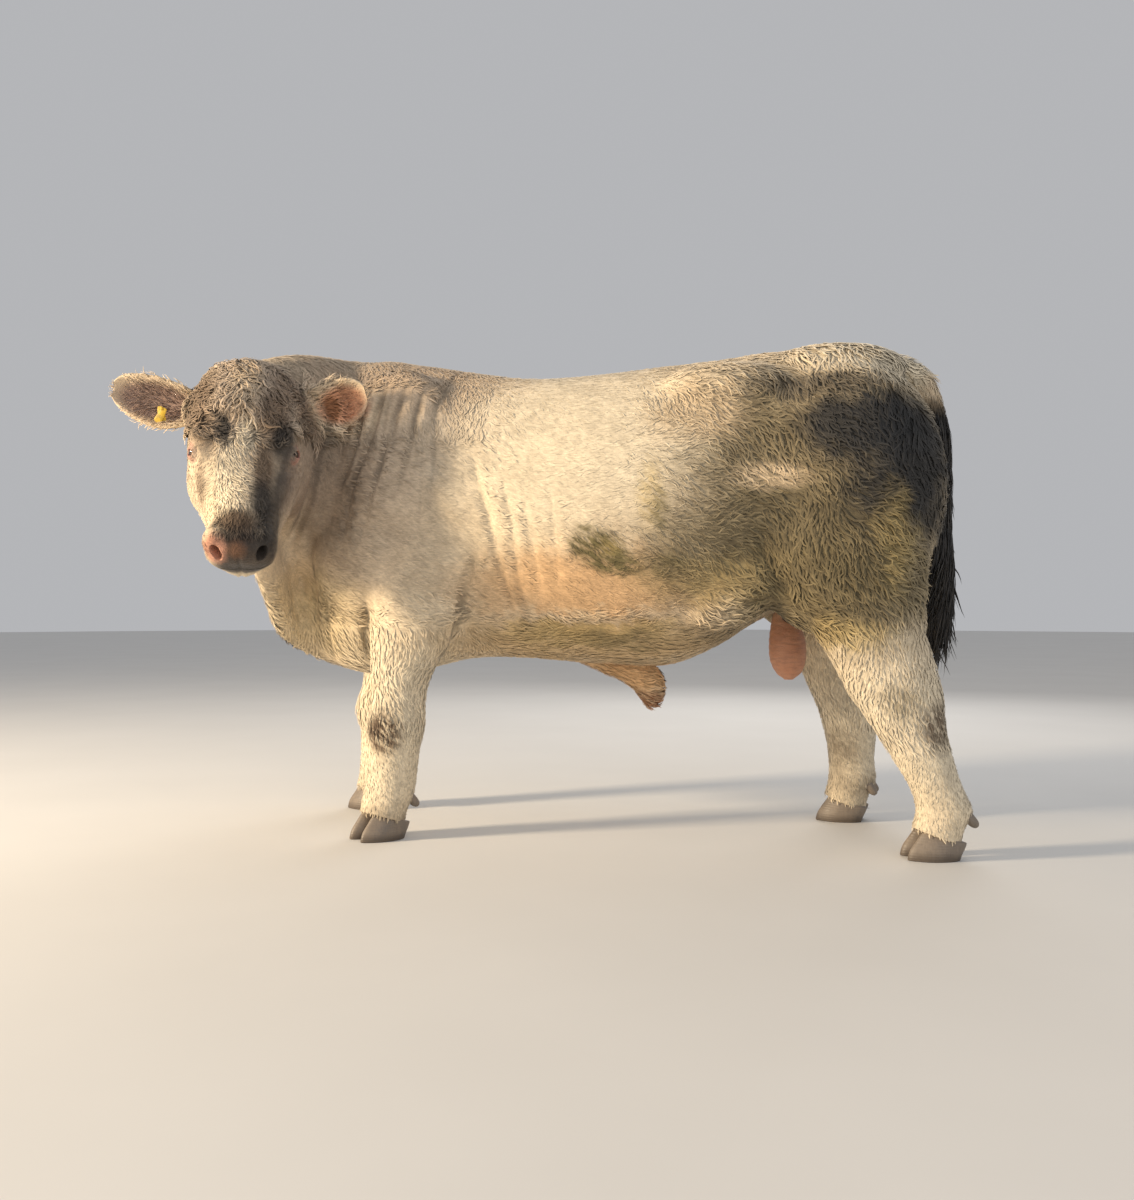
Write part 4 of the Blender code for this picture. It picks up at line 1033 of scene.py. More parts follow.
class Unwrap:
    """Finds a place on the unwrap for any place and facing on the skin."""

    def __init__(self, middles, flats):
        region = chart_region(middles)
        facing = self.facing(flats)
        chart = region * 6 + facing
        self.charts = {}
        sizes = []
        for number in np.unique(chart):
            spots = self.flat(middles[chart == number], number % 6)
            low = spots.min(axis=0) - CHART_EDGE
            high = spots.max(axis=0) + CHART_EDGE
            grow = HEAD_CHART_SCALE if number // 6 == 0 else 1.0
            sizes.append((number, low, (high - low) * grow, grow))
        sizes.sort(key=lambda row: -row[2][1])
        total = sum((row[2][0] + CHART_GAP) * (row[2][1] + CHART_GAP) for row in sizes)
        wide = math.sqrt(total) * 1.10
        u, v, tall = 0.0, 0.0, 0.0
        rows = []
        for number, low, size, grow in sizes:
            if u + size[0] > wide:
                u, v, tall = 0.0, v + tall + CHART_GAP, 0.0
            rows.append((number, low, u, v, grow))
            u += size[0] + CHART_GAP
            tall = max(tall, size[1])
        self.scale = (1 - 2 * CHART_MARGIN) / max(wide, v + tall)
        for number, low, u, v, grow in rows:
            self.charts[number] = (low, u, v, grow)

    def facing(self, flats):
        axis = np.argmax(np.abs(flats), axis=1)
        picked = flats[np.arange(len(flats)), axis]
        return axis * 2 + (picked > 0)

    def flat(self, places, facing):
        axis = facing // 2
        kept = [i for i in range(3) if i != axis]
        return places[:, kept]

    def place(self, places, middles, flats):
        """The unwrapped place of each point, in the chart of its face's middle and facing."""
        chart = chart_region(middles) * 6 + self.facing(flats)
        made = np.zeros((len(places), 2))
        for number in np.unique(chart):
            chosen = chart == number
            low, u, v, grow = self.charts.get(number, next(iter(self.charts.values())))
            spots = (self.flat(places[chosen], number % 6) - low) * grow + np.array([u, v])
            made[chosen] = spots * self.scale + CHART_MARGIN
        return made


def give_map(body, spots):
    """Sets the OFBake map, one place for each corner of each face."""
    layer = body.data.uv_layers.new(name="OFBake")
    layer.data.foreach_set("uv", np.ascontiguousarray(spots, float).ravel())


# Where tufts grow, and how they lie


def lie_field(places, normals):
    """The way the hair lies at each place, along the skin."""
    x, y, z = places.T
    count = len(places)
    regions = in_regions(places)
    along, out, left = (np.array(v) for v in head_axes())
    way = np.zeros((count, 3))
    slope = -0.25 - 0.55 * np.clip((x - 0.9) / 0.7, 0, 1)
    way[:, 0] = 1.0
    way[:, 2] = slope
    upper = z > 1.25
    way[upper, 2] *= 0.4
    withers = (x > -0.16) & (x < 0.42) & (z > 1.16)
    way[withers] = (0.30, 0.0, -1.0)
    neck = regions["neck"]
    way[neck] = (0.62, 0.30, -0.72)
    legs = (z < 0.62) & (np.abs(y) > 0.10) & ((x < 0.42) | (x > 1.12))
    way[legs] = (0.12, 0.0, -1.0)
    thigh = (x > 1.20) & (z >= 0.62)
    way[thigh, 0] = 0.75
    way[thigh, 2] = -0.85
    head = regions["head"]
    a, b, s = head_places(places).T
    top = head & (b > -0.13)
    way[head] = -0.35 * along - 0.75 * out
    fan = np.clip(s / 0.13, -1, 1)
    way[top] = along + (fan[:, None] * left * 0.8)[top]
    poll = head & (a < 0.02)
    way[poll] = (along * 0.9 + out * 0.35) + (fan[:, None] * left * 0.6)[poll]
    for number in (-1, 1):
        start, length, straight, front, down = ear_axes(number)
        moved = places - np.array(start)
        share = moved @ np.array(straight)
        reach = np.linalg.norm(moved - share[:, None] * np.array(straight), axis=1)
        wide = moved @ np.array(down)
        leaf = (share > 0.015) & (reach < 0.11) & (s * number > EAR_ASIDE)
        fanned = np.array(straight) + np.clip(wide / 0.07, -1, 1)[:, None] * np.array(down) * 0.8
        way[leaf] = fanned[leaf]
    tail = (x > 1.62) & (np.abs(y) < 0.07) & (z < 1.33) & (z > 0.4)
    way[tail] = (0.0, 0.0, -1.0)
    way -= normals * np.sum(way * normals, axis=1, keepdims=True)
    return unit(way)


def unit(rows, least=1e-9):
    """Each row brought to length 1."""
    return rows / np.maximum(np.linalg.norm(rows, axis=1, keepdims=True), least)


def waves(places, scale, seed):
    """A smooth wandering value between about -1 and 1 at each place."""
    draw = np.random.default_rng(seed)
    made = np.zeros(len(places))
    for i in range(5):
        turn = draw.normal(size=3)
        turn /= np.linalg.norm(turn)
        made += np.sin(places @ turn * scale * draw.uniform(0.7, 1.6) + draw.uniform(0, 6.3))
    return made / 2.6


def keep_values(mesh, name, values):
    """A value for each point of the mesh, for the materials to read."""
    kept = mesh.attributes.new(name, "FLOAT", "POINT")
    kept.data.foreach_set("value", values)


class Skin:
    """The skin's triangles, with an even choice of places on them."""

    def __init__(self, body):
        self.corners = triangles_of(body)
        self.places = positions(body)
        self.normals = vertex_normals(self.places, self.corners)
        a, b, c = (self.places[self.corners[:, i]] for i in range(3))
        cross = np.cross(b - a, c - a)
        self.area = np.linalg.norm(cross, axis=1) / 2
        self.flats = cross / np.maximum(self.area[:, None] * 2, 1e-12)
        self.middles = (a + b + c) / 3
        self.unwrap = Unwrap(self.middles, self.flats)
        # How deep each point lies in a crease; the materials darken creases with it, as dirt and
        # painted shade.
        deep = neck_folds(self.places) + throat_folds(self.places)
        self.hollow = np.clip(deep / 0.010, 0, 1)
        keep_values(body.data, "hollow", self.hollow)

    def map_of(self):
        """The unwrapped place of every corner of every triangle."""
        middles = np.repeat(self.middles, 3, axis=0)
        flats = np.repeat(self.flats, 3, axis=0)
        return self.unwrap.place(self.places[self.corners.ravel()], middles, flats)

    def roots(self, density, seed):
        """Random places, as many to each square metre as the density says for each triangle."""
        draw = np.random.default_rng(seed)
        wanted = self.area * density
        total = wanted.sum()
        steps = np.cumsum(wanted)
        count = int(total)
        marks = (np.arange(count) + draw.uniform(0, 1, count)) * (total / max(count, 1))
        face = np.clip(np.searchsorted(steps, marks), 0, len(steps) - 1)
        p, q = draw.uniform(0, 1, (2, count))
        over = p + q > 1
        p[over], q[over] = 1 - p[over], 1 - q[over]
        share = np.stack([1 - p - q, p, q], axis=1)
        points = self.corners[face]
        spot = np.einsum("nk,nkj->nj", share, self.places[points])
        normal = np.einsum("nk,nkj->nj", share, self.normals[points])
        return face, spot, unit(normal)


# A direction unlike any hair's, for the width of hair that stands straight up from the skin.
TILTED = (0.48, -0.60, 0.64)
# How wide a tuft is at each share of its length.
TUFT_SHARES = [0, 0.25, 0.6, 0.85, 1]
TUFT_WIDTHS = [0.75, 1.0, 0.80, 0.42, 0]


def grow(name, skin, face, spot, normal, lie, look, rows, seed, round_look=0.35, together=0.0):
    """One mesh of thin closed tufts: each has rows of three points and a tip.

    look holds length, half width, thickness, lift, wave, sink and bend for each tuft. round_look
    is how round the tufts look in the light, and together how far neighbours wave alike."""
    draw = np.random.default_rng(seed)
    count = len(spot)
    length, half, thick, lift, wave, sink, bend = (np.broadcast_to(v, count)[:, None] for v in look)
    side = np.cross(lie, normal)
    turns = draw.uniform(0, 6.3, count) * (1 - together) + waves(spot, 24, seed + 5) * 4.0 * together
    turns = turns[:, None]
    pace = draw.uniform(0.8, 1.2, (count, 1))
    bend = np.where(np.abs(bend) < 0.05, 0.05, bend)
    shares = np.linspace(0, 1, rows + 1)
    spine = []
    for share in shares:
        rise = lift * math.sin(math.pi * (0.08 + 0.80 * share)) - sink * (1 - share) ** 2
        sway = wave * share ** 0.7 * np.sin(turns + 6.0 * pace * share)
        bob = wave * 0.30 * share * np.cos(turns + 6.0 * pace * share)
        ahead = length * np.sin(bend * share) / bend
        across = length * (1 - np.cos(bend * share)) / bend + sway
        spine.append(spot + lie * ahead + side * across + normal * (rise + bob))
    profile = np.interp(shares, TUFT_SHARES, TUFT_WIDTHS)
    points = np.empty((count, rows * 3 + 1, 3))
    facing = np.empty((count, rows * 3 + 1, 3))
    local = np.empty((count, rows * 3 + 1, 2))
    for row in range(rows):
        size = profile[row]
        step = unit(spine[row + 1] - spine[max(row - 1, 0)])
        wide = np.cross(step, normal)
        upright = np.linalg.norm(wide, axis=1, keepdims=True) < 0.35
        wide = unit(np.where(upright, np.cross(step, TILTED), wide))
        over = np.cross(wide, step)
        for i, (out, up, u) in enumerate(((1, 0, 0.0), (-1, 0, 1.0), (0, 1, 0.5))):
            aside = wide * half * (size * out)
            points[:, row * 3 + i] = spine[row] + aside + over * thick * (size * up)
            facing[:, row * 3 + i] = normal + wide * (out * (round_look or 0.5))
            local[:, row * 3 + i] = (u, shares[row])
    points[:, -1] = spine[-1]
    facing[:, -1] = normal
    local[:, -1] = (0.5, 1.0)
    tris = [(0, 1, 2)]
    for row in range(rows - 1):
        for i, j in ((0, 2), (2, 1), (1, 0)):
            a, b = row * 3 + i, row * 3 + j
            tris += [(a, b, b + 3), (a, b + 3, a + 3)]
    last = (rows - 1) * 3
    tip = rows * 3
    tris += [(last, last + 2, tip), (last + 2, last + 1, tip), (last + 1, last, tip)]
    tris = np.array(tris)[:, ::-1]
    every = (np.arange(count)[:, None, None] * (rows * 3 + 1) + tris[None]).reshape(-1, 3)
    mesh = bpy.data.meshes.new(name)
    flat_points = points.reshape(-1, 3)
    mesh.vertices.add(len(flat_points))
    mesh.vertices.foreach_set("co", flat_points.ravel())
    mesh.loops.add(every.size)
    mesh.loops.foreach_set("vertex_index", every.ravel().astype(np.int32))
    mesh.polygons.add(len(every))
    mesh.polygons.foreach_set("loop_start", np.arange(0, every.size, 3, dtype=np.int32))
    mesh.polygons.foreach_set("use_smooth", np.ones(len(every), bool))
    mesh.update(calc_edges=True)
    body = bpy.data.objects.new(name, mesh)
    bpy.context.scene.collection.objects.link(body)
    home = skin.unwrap.place(spot, skin.middles[face], skin.flats[face])
    patch = home[:, None, :] + (local - 0.5) * TUFT_PATCH
    corners = np.array(tris).ravel()
    give_map(body, patch[:, corners].reshape(-1, 2))
    keep_values(mesh, "along", np.tile(local[0, :, 1], count))
    keep_values(mesh, "shade", np.repeat(draw.uniform(0, 1, count), rows * 3 + 1))
    keep_values(mesh, "across", np.tile(local[0, :, 0], count))
    # The crease depth under each root, so that tufts in creases take the same dirt and painted shade.
    keep_values(mesh, "hollow", np.repeat(skin.hollow[skin.corners[face, 0]], rows * 3 + 1))
    if round_look:
        facing = facing.reshape(-1, 3)
        facing /= np.linalg.norm(facing, axis=1, keepdims=True)
        turned = mesh.attributes.new("custom_normal", "FLOAT_VECTOR", "POINT")
        turned.data.foreach_set("vector", facing.ravel())
    return body


# Materials: small helpers for nodes, then the markings that skin and coat share


def put(tree, kind, **values):
    """A node with its inputs set to sockets or plain values, by name or number."""
    made = tree.nodes.new(kind)
    for key, value in values.items():
        socket = made.inputs[int(key[1:])] if key[0] == "i" and key[1:].isdigit() else made.inputs[key]
        if isinstance(value, bpy.types.NodeSocket):
            tree.links.new(value, socket)
        else:
            socket.default_value = value
    return made


def sums(tree, operation, a, b=0.0, c=0.0):
    made = put(tree, "ShaderNodeMath", i0=a, i1=b, i2=c)
    made.operation = operation
    return made.outputs[0]


def times(tree, a, b):
    return sums(tree, "MULTIPLY", a, b)


def plus(tree, a, b):
    return sums(tree, "ADD", a, b)


def vectors(tree, operation, a, b=(0, 0, 0)):
    made = put(tree, "ShaderNodeVectorMath", i0=a, i1=b)
    made.operation = operation
    return made.outputs["Value"] if operation in ("LENGTH", "DOT_PRODUCT") else made.outputs["Vector"]


def noise(tree, vector, scale, detail=2.0, rough=0.5, output="Fac"):
    made = put(tree, "ShaderNodeTexNoise", Vector=vector, Scale=scale, Detail=detail, Roughness=rough)
    return made.outputs[output]


def between(tree, value, low, high, start=0.0, end=1.0):
    """start below low and end above high, with a smooth change between."""
    made = put(tree, "ShaderNodeMapRange", i0=value, i1=low, i2=high, i3=start, i4=end)
    made.interpolation_type = "SMOOTHSTEP"
    return made.outputs[0]


def mixed(tree, share, a, b, blend="MIX"):
    made = tree.nodes.new("ShaderNodeMix")
    made.data_type = "RGBA"
    made.blend_type = blend
    for number, value in ((0, share), (6, a), (7, b)):
        if isinstance(value, bpy.types.NodeSocket):
            tree.links.new(value, made.inputs[number])
        elif number:
            made.inputs[number].default_value = (*value, 1.0)
        else:
            made.inputs[number].default_value = value
    return made.outputs[2]


def blob(tree, place, centre, radii, soft=0.4):
    """1 inside an oval patch, falling to 0 round its edge."""
    moved = vectors(tree, "SUBTRACT", place, tuple(centre))
    share = vectors(tree, "MULTIPLY", moved, tuple(1 / r for r in radii))
    return between(tree, vectors(tree, "LENGTH", share), 1 - soft, 1 + soft, 1.0, 0.0)


def attribute(tree, name):
    """A value that the mesh keeps at each of its points."""
    made = tree.nodes.new("ShaderNodeAttribute")
    made.attribute_name = name
    return made.outputs["Fac"]


def dimmed(tree, colour, value):
    """The colour made darker or lighter by the value."""
    tone = put(tree, "ShaderNodeCombineColor", i0=value, i1=value, i2=value)
    return mixed(tree, 1.0, colour, tone.outputs[0], "MULTIPLY")


def turned_place(tree, moved, ways):
    """How far a place lies along each of three directions."""
    made = tree.nodes.new("ShaderNodeCombineXYZ")
    for i, way in enumerate(ways):
        tree.links.new(vectors(tree, "DOT_PRODUCT", moved, tuple(way)), made.inputs[i])
    return made.outputs[0]


def bumped(tree, shader, strength, distance, height):
    bump = put(tree, "ShaderNodeBump", Strength=strength, Distance=distance, Height=height)
    tree.links.new(bump.outputs[0], shader.inputs["Normal"])


def body_place(tree):
    """Object coordinates in the withers frame."""
    made = tree.nodes.new("ShaderNodeTexCoord")
    return vectors(tree, "SUBTRACT", made.outputs["Object"], tuple(SHIFT))


CREAM = (0.70, 0.535, 0.345)
PALE = (0.80, 0.685, 0.50)
PEACH = (0.66, 0.395, 0.19)
DUSKY = (0.45, 0.345, 0.265)
SOIL = (0.205, 0.160, 0.088)
GRIME = (0.125, 0.098, 0.048)
BROWN = (0.180, 0.122, 0.080)
OLIVE = (0.17, 0.140, 0.062)
OCHRE = (0.53, 0.39, 0.155)
GOLDEN = (0.56, 0.36, 0.145)
MUD = (0.125, 0.082, 0.052)
SLATE = (0.048, 0.042, 0.038)
CHARCOAL = (0.029, 0.029, 0.030)
NOSE_DARK = (0.050, 0.037, 0.030)
BLACK = (0.014, 0.012, 0.011)
LID_PINK = (0.52, 0.25, 0.20)
EAR_RIM = (0.80, 0.64, 0.45)
EAR_PINK = (0.76, 0.37, 0.21)
# Painted shade for the hollow of the right ear.
EAR_CUP_PAINTED_SHADE = (0.27, 0.175, 0.150)
NOSE_PINK = (0.56, 0.28, 0.19)
RUSSET = (0.36, 0.165, 0.080)

BODY_MARKS = [
    # colour, centre, radii, softness, strength
    (PALE, (0.66, -0.30, 1.13), (0.40, 0.5, 0.24), 0.5, 0.9),
    (PEACH, (0.72, -0.30, 0.73), (0.34, 0.5, 0.10), 0.6, 0.80),
    (GOLDEN, (0.72, -0.15, 0.57), (0.42, 0.4, 0.075), 0.5, 0.60),
    (PEACH, (0.12, 0.0, 1.33), (0.30, 0.5, 0.08), 0.7, 0.35),
    (DUSKY, (0.02, -0.05, 1.25), (0.38, 0.6, 0.30), 0.5, 0.60),
    (DUSKY, (0.02, -0.25, 0.92), (0.26, 0.5, 0.26), 0.6, 0.45),
    # Painted shadow of the head on the near side of the neck behind the jaw, with some dirt.
    (BROWN, (-0.04, -0.34, 1.00), (0.11, 0.14, 0.22), 0.7, 0.62),
    (OCHRE, (-0.10, -0.20, 0.64), (0.16, 0.2, 0.14), 0.6, 0.45),
    (SOIL, (1.34, 0.0, 0.93), (0.38, 0.8, 0.29), 0.45, 0.92),
    (SOIL, (1.34, 0.0, 1.20), (0.32, 0.8, 0.14), 0.4, 0.75),
    (SOIL, (1.04, -0.1, 0.82), (0.17, 0.8, 0.13), 0.5, 0.70),
    (SOIL, (1.18, -0.1, 1.12), (0.14, 0.8, 0.16), 0.6, 0.55),
    (OCHRE, (1.24, -0.33, 0.74), (0.30, 0.25, 0.08), 0.6, 0.45),
    (SOIL, (1.44, -0.30, 0.72), (0.25, 0.35, 0.13), 0.5, 0.85),
    (GRIME, (1.38, -0.32, 0.80), (0.24, 0.25, 0.21), 0.6, 0.62),
    # Darkest soiling on the rear face of the haunches, darkened further as painted shade where that
    # face turns from the light.
    (CHARCOAL, (1.59, 0.0, 1.04), (0.165, 0.5, 0.24), 0.30, 0.97),
    (CHARCOAL, (1.47, -0.30, 1.16), (0.17, 0.30, 0.100), 0.35, 0.95),
    (CHARCOAL, (1.47, -0.30, 1.00), (0.07, 0.30, 0.090), 0.6, 0.75),
    (SLATE, (1.34, -0.25, 1.285), (0.18, 0.22, 0.030), 0.6, 0.65),
    (PALE, (1.45, -0.10, 1.375), (0.20, 0.24, 0.055), 0.4, 0.95),
    (PALE, (1.56, -0.14, 1.330), (0.11, 0.20, 0.045), 0.5, 0.90),
    (PALE, (1.64, 0.0, 1.345), (0.09, 0.10, 0.085), 0.4, 0.97),
    (PEACH, (1.70, 0.0, 1.290), (0.06, 0.10, 0.070), 0.5, 0.35),
    (CREAM, (1.22, -0.36, 1.03), (0.095, 0.2, 0.032), 0.6, 0.90),
    (CREAM, (1.02, -0.36, 1.22), (0.12, 0.2, 0.085), 0.6, 0.75),
    (OCHRE, (1.55, -0.30, 0.86), (0.05, 0.2, 0.12), 0.6, 0.50),
    (OLIVE, (0.725, -0.37, 0.850), (0.050, 0.16, 0.048), 0.35, 0.90),
    (OLIVE, (0.775, -0.37, 0.825), (0.060, 0.16, 0.058), 0.35, 0.97),
    (OCHRE, (0.790, -0.37, 0.835), (0.030, 0.16, 0.022), 0.9, 0.55),
    (OLIVE, (0.820, -0.37, 0.795), (0.050, 0.16, 0.035), 0.5, 0.85),
    (OLIVE, (0.930, -0.37, 0.790), (0.085, 0.16, 0.040), 0.7, 0.55),
    (OCHRE, (0.900, -0.37, 0.985), (0.035, 0.16, 0.085), 0.6, 0.55),
    (OLIVE, (0.925, -0.37, 0.930), (0.022, 0.16, 0.060), 0.6, 0.60),
    (OCHRE, (0.70, -0.25, 0.600), (0.22, 0.25, 0.040), 0.6, 0.60),
    (SOIL, (0.80, -0.25, 0.585), (0.10, 0.20, 0.026), 0.7, 0.60),
    (SOIL, (1.08, 0.0, 0.600), (0.16, 0.26, 0.050), 0.5, 0.55),
    (PALE, (0.69, -0.31, 0.652), (0.24, 0.10, 0.014), 0.9, 0.35),
    (PALE, (0.12, -0.25, 0.36), (0.22, 0.30, 0.28), 0.5, 0.85),
    (PALE, (-0.08, 0.22, 0.30), (0.16, 0.20, 0.30), 0.5, 0.85),
    (PALE, (1.55, 0.0, 0.30), (0.32, 0.60, 0.29), 0.35, 0.92),
    (OCHRE, (1.42, -0.30, 0.60), (0.12, 0.20, 0.045), 0.6, 0.55),
    (MUD, (0.120, -0.34, 0.310), (0.060, 0.09, 0.062), 0.45, 0.97),
    (MUD, (1.660, -0.33, 0.355), (0.045, 0.08, 0.060), 0.6, 0.85),
    (SOIL, (1.560, -0.36, 0.42), (0.05, 0.08, 0.040), 0.7, 0.55),
    (MUD, (1.440, 0.25, 0.225), (0.050, 0.09, 0.060), 0.7, 0.60),
    (MUD, (1.500, 0.27, 0.110), (0.12, 0.12, 0.045), 0.7, 0.50),
    (MUD, (0.02, -0.05, 0.060), (0.30, 0.50, 0.030), 0.8, 0.45),
    (PEACH, (0.80, 0.0, 0.47), (0.18, 0.10, 0.070), 0.4, 0.90),
    (RUSSET, (0.862, 0.0, 0.375), (0.070, 0.07, 0.045), 0.4, 0.95),
]

HEAD_MARKS = [
    # colour, place along, out and left, radii, softness, strength
    (DUSKY, (0.10, 0.02, 0.0), (0.20, 0.14, 0.17), 0.5, 0.70),
    (BROWN, (0.120, -0.02, -0.125), (0.120, 0.09, 0.062), 0.5, 0.88),
    (BROWN, (0.230, 0.00, -0.095), (0.050, 0.06, 0.040), 0.5, 0.55),
    (BROWN, (0.180, 0.02, 0.085), (0.085, 0.06, 0.042), 0.5, 0.85),
    (BROWN, (0.050, 0.00, 0.120), (0.070, 0.08, 0.050), 0.5, 0.65),
    (CREAM, (0.080, 0.03, 0.005), (0.110, 0.08, 0.042), 0.6, 0.55),
    (PALE, (0.240, 0.01, 0.010), (0.050, 0.06, 0.028), 0.5, 0.75),
    (PALE, (0.370, -0.01, -0.030), (0.120, 0.07, 0.045), 0.5, 0.85),
    (SLATE, (0.220, 0.01, -0.048), (0.045, 0.05, 0.018), 0.45, 0.97),
    # Near side of the face, from brow and eye down to the muzzle: dark hair and mud, deepened as
    # painted shade where this side of the head turns from the light.
    (BROWN, (0.330, -0.02, 0.058), (0.080, 0.05, 0.028), 0.5, 0.90),
    (SLATE, (0.430, -0.035, 0.058), (0.070, 0.06, 0.030), 0.5, 0.92),
    (SLATE, (0.245, -0.010, 0.108), (0.050, 0.05, 0.034), 0.5, 0.90),
    (SLATE, (0.310, -0.055, 0.122), (0.060, 0.06, 0.030), 0.5, 0.90),
    (SLATE, (0.371, -0.060, 0.106), (0.055, 0.06, 0.028), 0.5, 0.88),
    (SLATE, (0.450, -0.065, 0.090), (0.065, 0.06, 0.028), 0.5, 0.85),
    (DUSKY, (0.300, -0.14, 0.15), (0.15, 0.11, 0.060), 0.5, 0.60),
    (DUSKY, (0.330, -0.12, -0.13), (0.15, 0.09, 0.040), 0.6, 0.45),
    (BROWN, (0.380, -0.200, 0.12), (0.14, 0.05, 0.060), 0.7, 0.55),
    (BROWN, (0.100, -0.09, 0.160), (0.080, 0.07, 0.045), 0.5, 0.70),
    # Painted shadow of a fold on the far cheek.
    (BROWN, (0.370, -0.060, -0.114), (0.080, 0.04, 0.014), 0.6, 0.65),
    (MUD, (0.492, -0.025, -0.012), (0.032, 0.05, 0.058), 0.45, 0.95),
    (MUD, (0.535, -0.030, 0.000), (0.050, 0.05, 0.048), 0.4, 0.80),
    (NOSE_DARK, (0.575, -0.070, 0.022), (0.075, 0.080, 0.090), 0.3, 0.97),
    # Dark mud on the near side of the muzzle, deepened as painted shade.
    (SLATE, (0.530, -0.035, 0.068), (0.055, 0.06, 0.032), 0.5, 0.92),
    (NOSE_PINK, (0.565, -0.055, -0.066), (0.045, 0.045, 0.034), 0.4, 0.97),
    (RUSSET, (0.570, -0.046, -0.005), (0.026, 0.020, 0.022), 0.6, 0.42),
    (SLATE, (0.590, -0.115, 0.005), (0.050, 0.022, 0.085), 0.5, 0.90),
    (PALE, (0.555, -0.175, 0.0), (0.060, 0.030, 0.070), 0.5, 0.85),
    (LID_PINK, (0.256, -0.050, -0.137), (0.028, 0.022, 0.028), 0.4, 0.92),
    (LID_PINK, (0.256, -0.052, 0.137), (0.027, 0.018, 0.026), 0.4, 0.85),
]
# Side of the head, colour of the cup, its place along the ear and below its middle line, and its radii.
EAR_MARKS = [
    (-1, EAR_RIM, 0.62, 0.008, (0.125, 0.070, 0.100)),
    # The right ear's cup is painted dark, as shade in its hollow.
    (-1, EAR_CUP_PAINTED_SHADE, 0.50, 0.008, (0.110, 0.060, 0.054)),
    (1, EAR_RIM, 0.62, 0.008, (0.125, 0.070, 0.100)),
    (1, EAR_PINK, 0.60, 0.012, (0.072, 0.060, 0.054)),
    # A darker core deep in the left ear's cup: painted shade in the hollow.
    (1, RUSSET, 0.42, 0.014, (0.024, 0.060, 0.036)),
]


def hair_wise(tree, place, squeeze):
    """The place turned so that its first axis follows the lie of the coat, and squeezed along it."""
    lie = (0.83, 0.0, -0.56)
    over = (0.56, 0.0, 0.83)
    made = tree.nodes.new("ShaderNodeCombineXYZ")
    tree.links.new(times(tree, vectors(tree, "DOT_PRODUCT", place, lie), squeeze), made.inputs[0])
    tree.links.new(vectors(tree, "DOT_PRODUCT", place, (0.0, 1.0, 0.0)), made.inputs[1])
    tree.links.new(vectors(tree, "DOT_PRODUCT", place, over), made.inputs[2])
    return made.outputs[0]


def shifted(tree, place, guide, scale, reach):
    """The place moved about by noise, so that the edges of marks are ragged."""
    wander = vectors(tree, "SUBTRACT", noise(tree, guide, scale, 5.0, 0.68, "Color"), (0.5, 0.5, 0.5))
    return vectors(tree, "ADD", place, vectors(tree, "MULTIPLY", wander, (reach, reach, reach)))


def markings():
    """The node group that colours skin and coat alike: its input is the place."""
    found = bpy.data.node_groups.get("markings")
    if found:
        return found
    tree = bpy.data.node_groups.new("markings", "ShaderNodeTree")
    tree.interface.new_socket("Place", in_out="INPUT", socket_type="NodeSocketVector")
    tree.interface.new_socket("Colour", in_out="OUTPUT", socket_type="NodeSocketColor")
    start = tree.nodes.new("NodeGroupInput")
    end = tree.nodes.new("NodeGroupOutput")
    true_place = start.outputs["Place"]
    streaks = hair_wise(tree, true_place, 0.30)
    near_place = shifted(tree, true_place, streaks, 40.0, 0.055)
    ragged = shifted(tree, near_place, true_place, 7.0, 0.16)
    face_place = shifted(tree, true_place, true_place, 60.0, 0.020)
    streaky = between(tree, noise(tree, streaks, 75.0, 3.0, 0.6), 0.38, 0.56, 0.45, 1.0)
    colour = mixed(tree, noise(tree, true_place, 3.0, 3.0, 0.6), CREAM, PALE)
    for paint, centre, radii, soft, strength in BODY_MARKS:
        small = max(radii[0], radii[2]) < 0.10
        share = blob(tree, near_place if small else ragged, centre, radii, soft)
        if small:
            share = times(tree, share, streaky)
        colour = mixed(tree, times(tree, share, strength), colour, paint)
    along, out, left = head_axes()
    moved = vectors(tree, "SUBTRACT", face_place, tuple(POLL))
    in_head = turned_place(tree, moved, (along, out, left))
    for paint, centre, radii, soft, strength in HEAD_MARKS:
        share = blob(tree, in_head, centre, radii, soft)
        colour = mixed(tree, times(tree, share, strength), colour, paint)
    for side, paint, reach, low, radii in EAR_MARKS:
        root, way, straight, front, down = ear_axes(side)
        centre = root + way * reach + down * low - front * 0.020
        share = ear_cup(tree, true_place, centre, straight, front, down, radii)
        colour = mixed(tree, times(tree, share, 0.90), colour, paint)
    parts = put(tree, "ShaderNodeSeparateXYZ", i0=near_place)
    behind = between(tree, parts.outputs[0], 1.650, 1.665)
    narrow = between(tree, sums(tree, "ABSOLUTE", parts.outputs[1]), 0.07, 0.09, 1.0, 0.0)
    low = between(tree, parts.outputs[2], 1.22, 1.30, 1.0, 0.0)
    above = between(tree, parts.outputs[2], 0.42, 0.45)
    dark = times(tree, times(tree, behind, narrow), times(tree, low, above))
    colour = mixed(tree, dark, colour, BLACK)
    grain = between(tree, noise(tree, streaks, 110.0, 3.0, 0.7), 0.25, 0.75, 0.84, 1.13)
    drift = between(tree, noise(tree, true_place, 12.0, 3.0, 0.6), 0.25, 0.75, 0.86, 1.10)
    tree.links.new(dimmed(tree, colour, times(tree, grain, drift)), end.inputs["Colour"])
    return tree


def ear_cup(tree, place, centre, straight, front, down, radii):
    """1 in the hollow of an ear, 0 on its rim and back."""
    moved = vectors(tree, "SUBTRACT", place, tuple(centre))
    return blob(tree, turned_place(tree, moved, (straight, front, down)), (0.0, 0.0, 0.0), radii, 0.30)


def new_material(name):
    made = bpy.data.materials.new(name)
    made.use_nodes = True
    tree = made.node_tree
    shader = tree.nodes["Principled BSDF"]
    return made, tree, shader


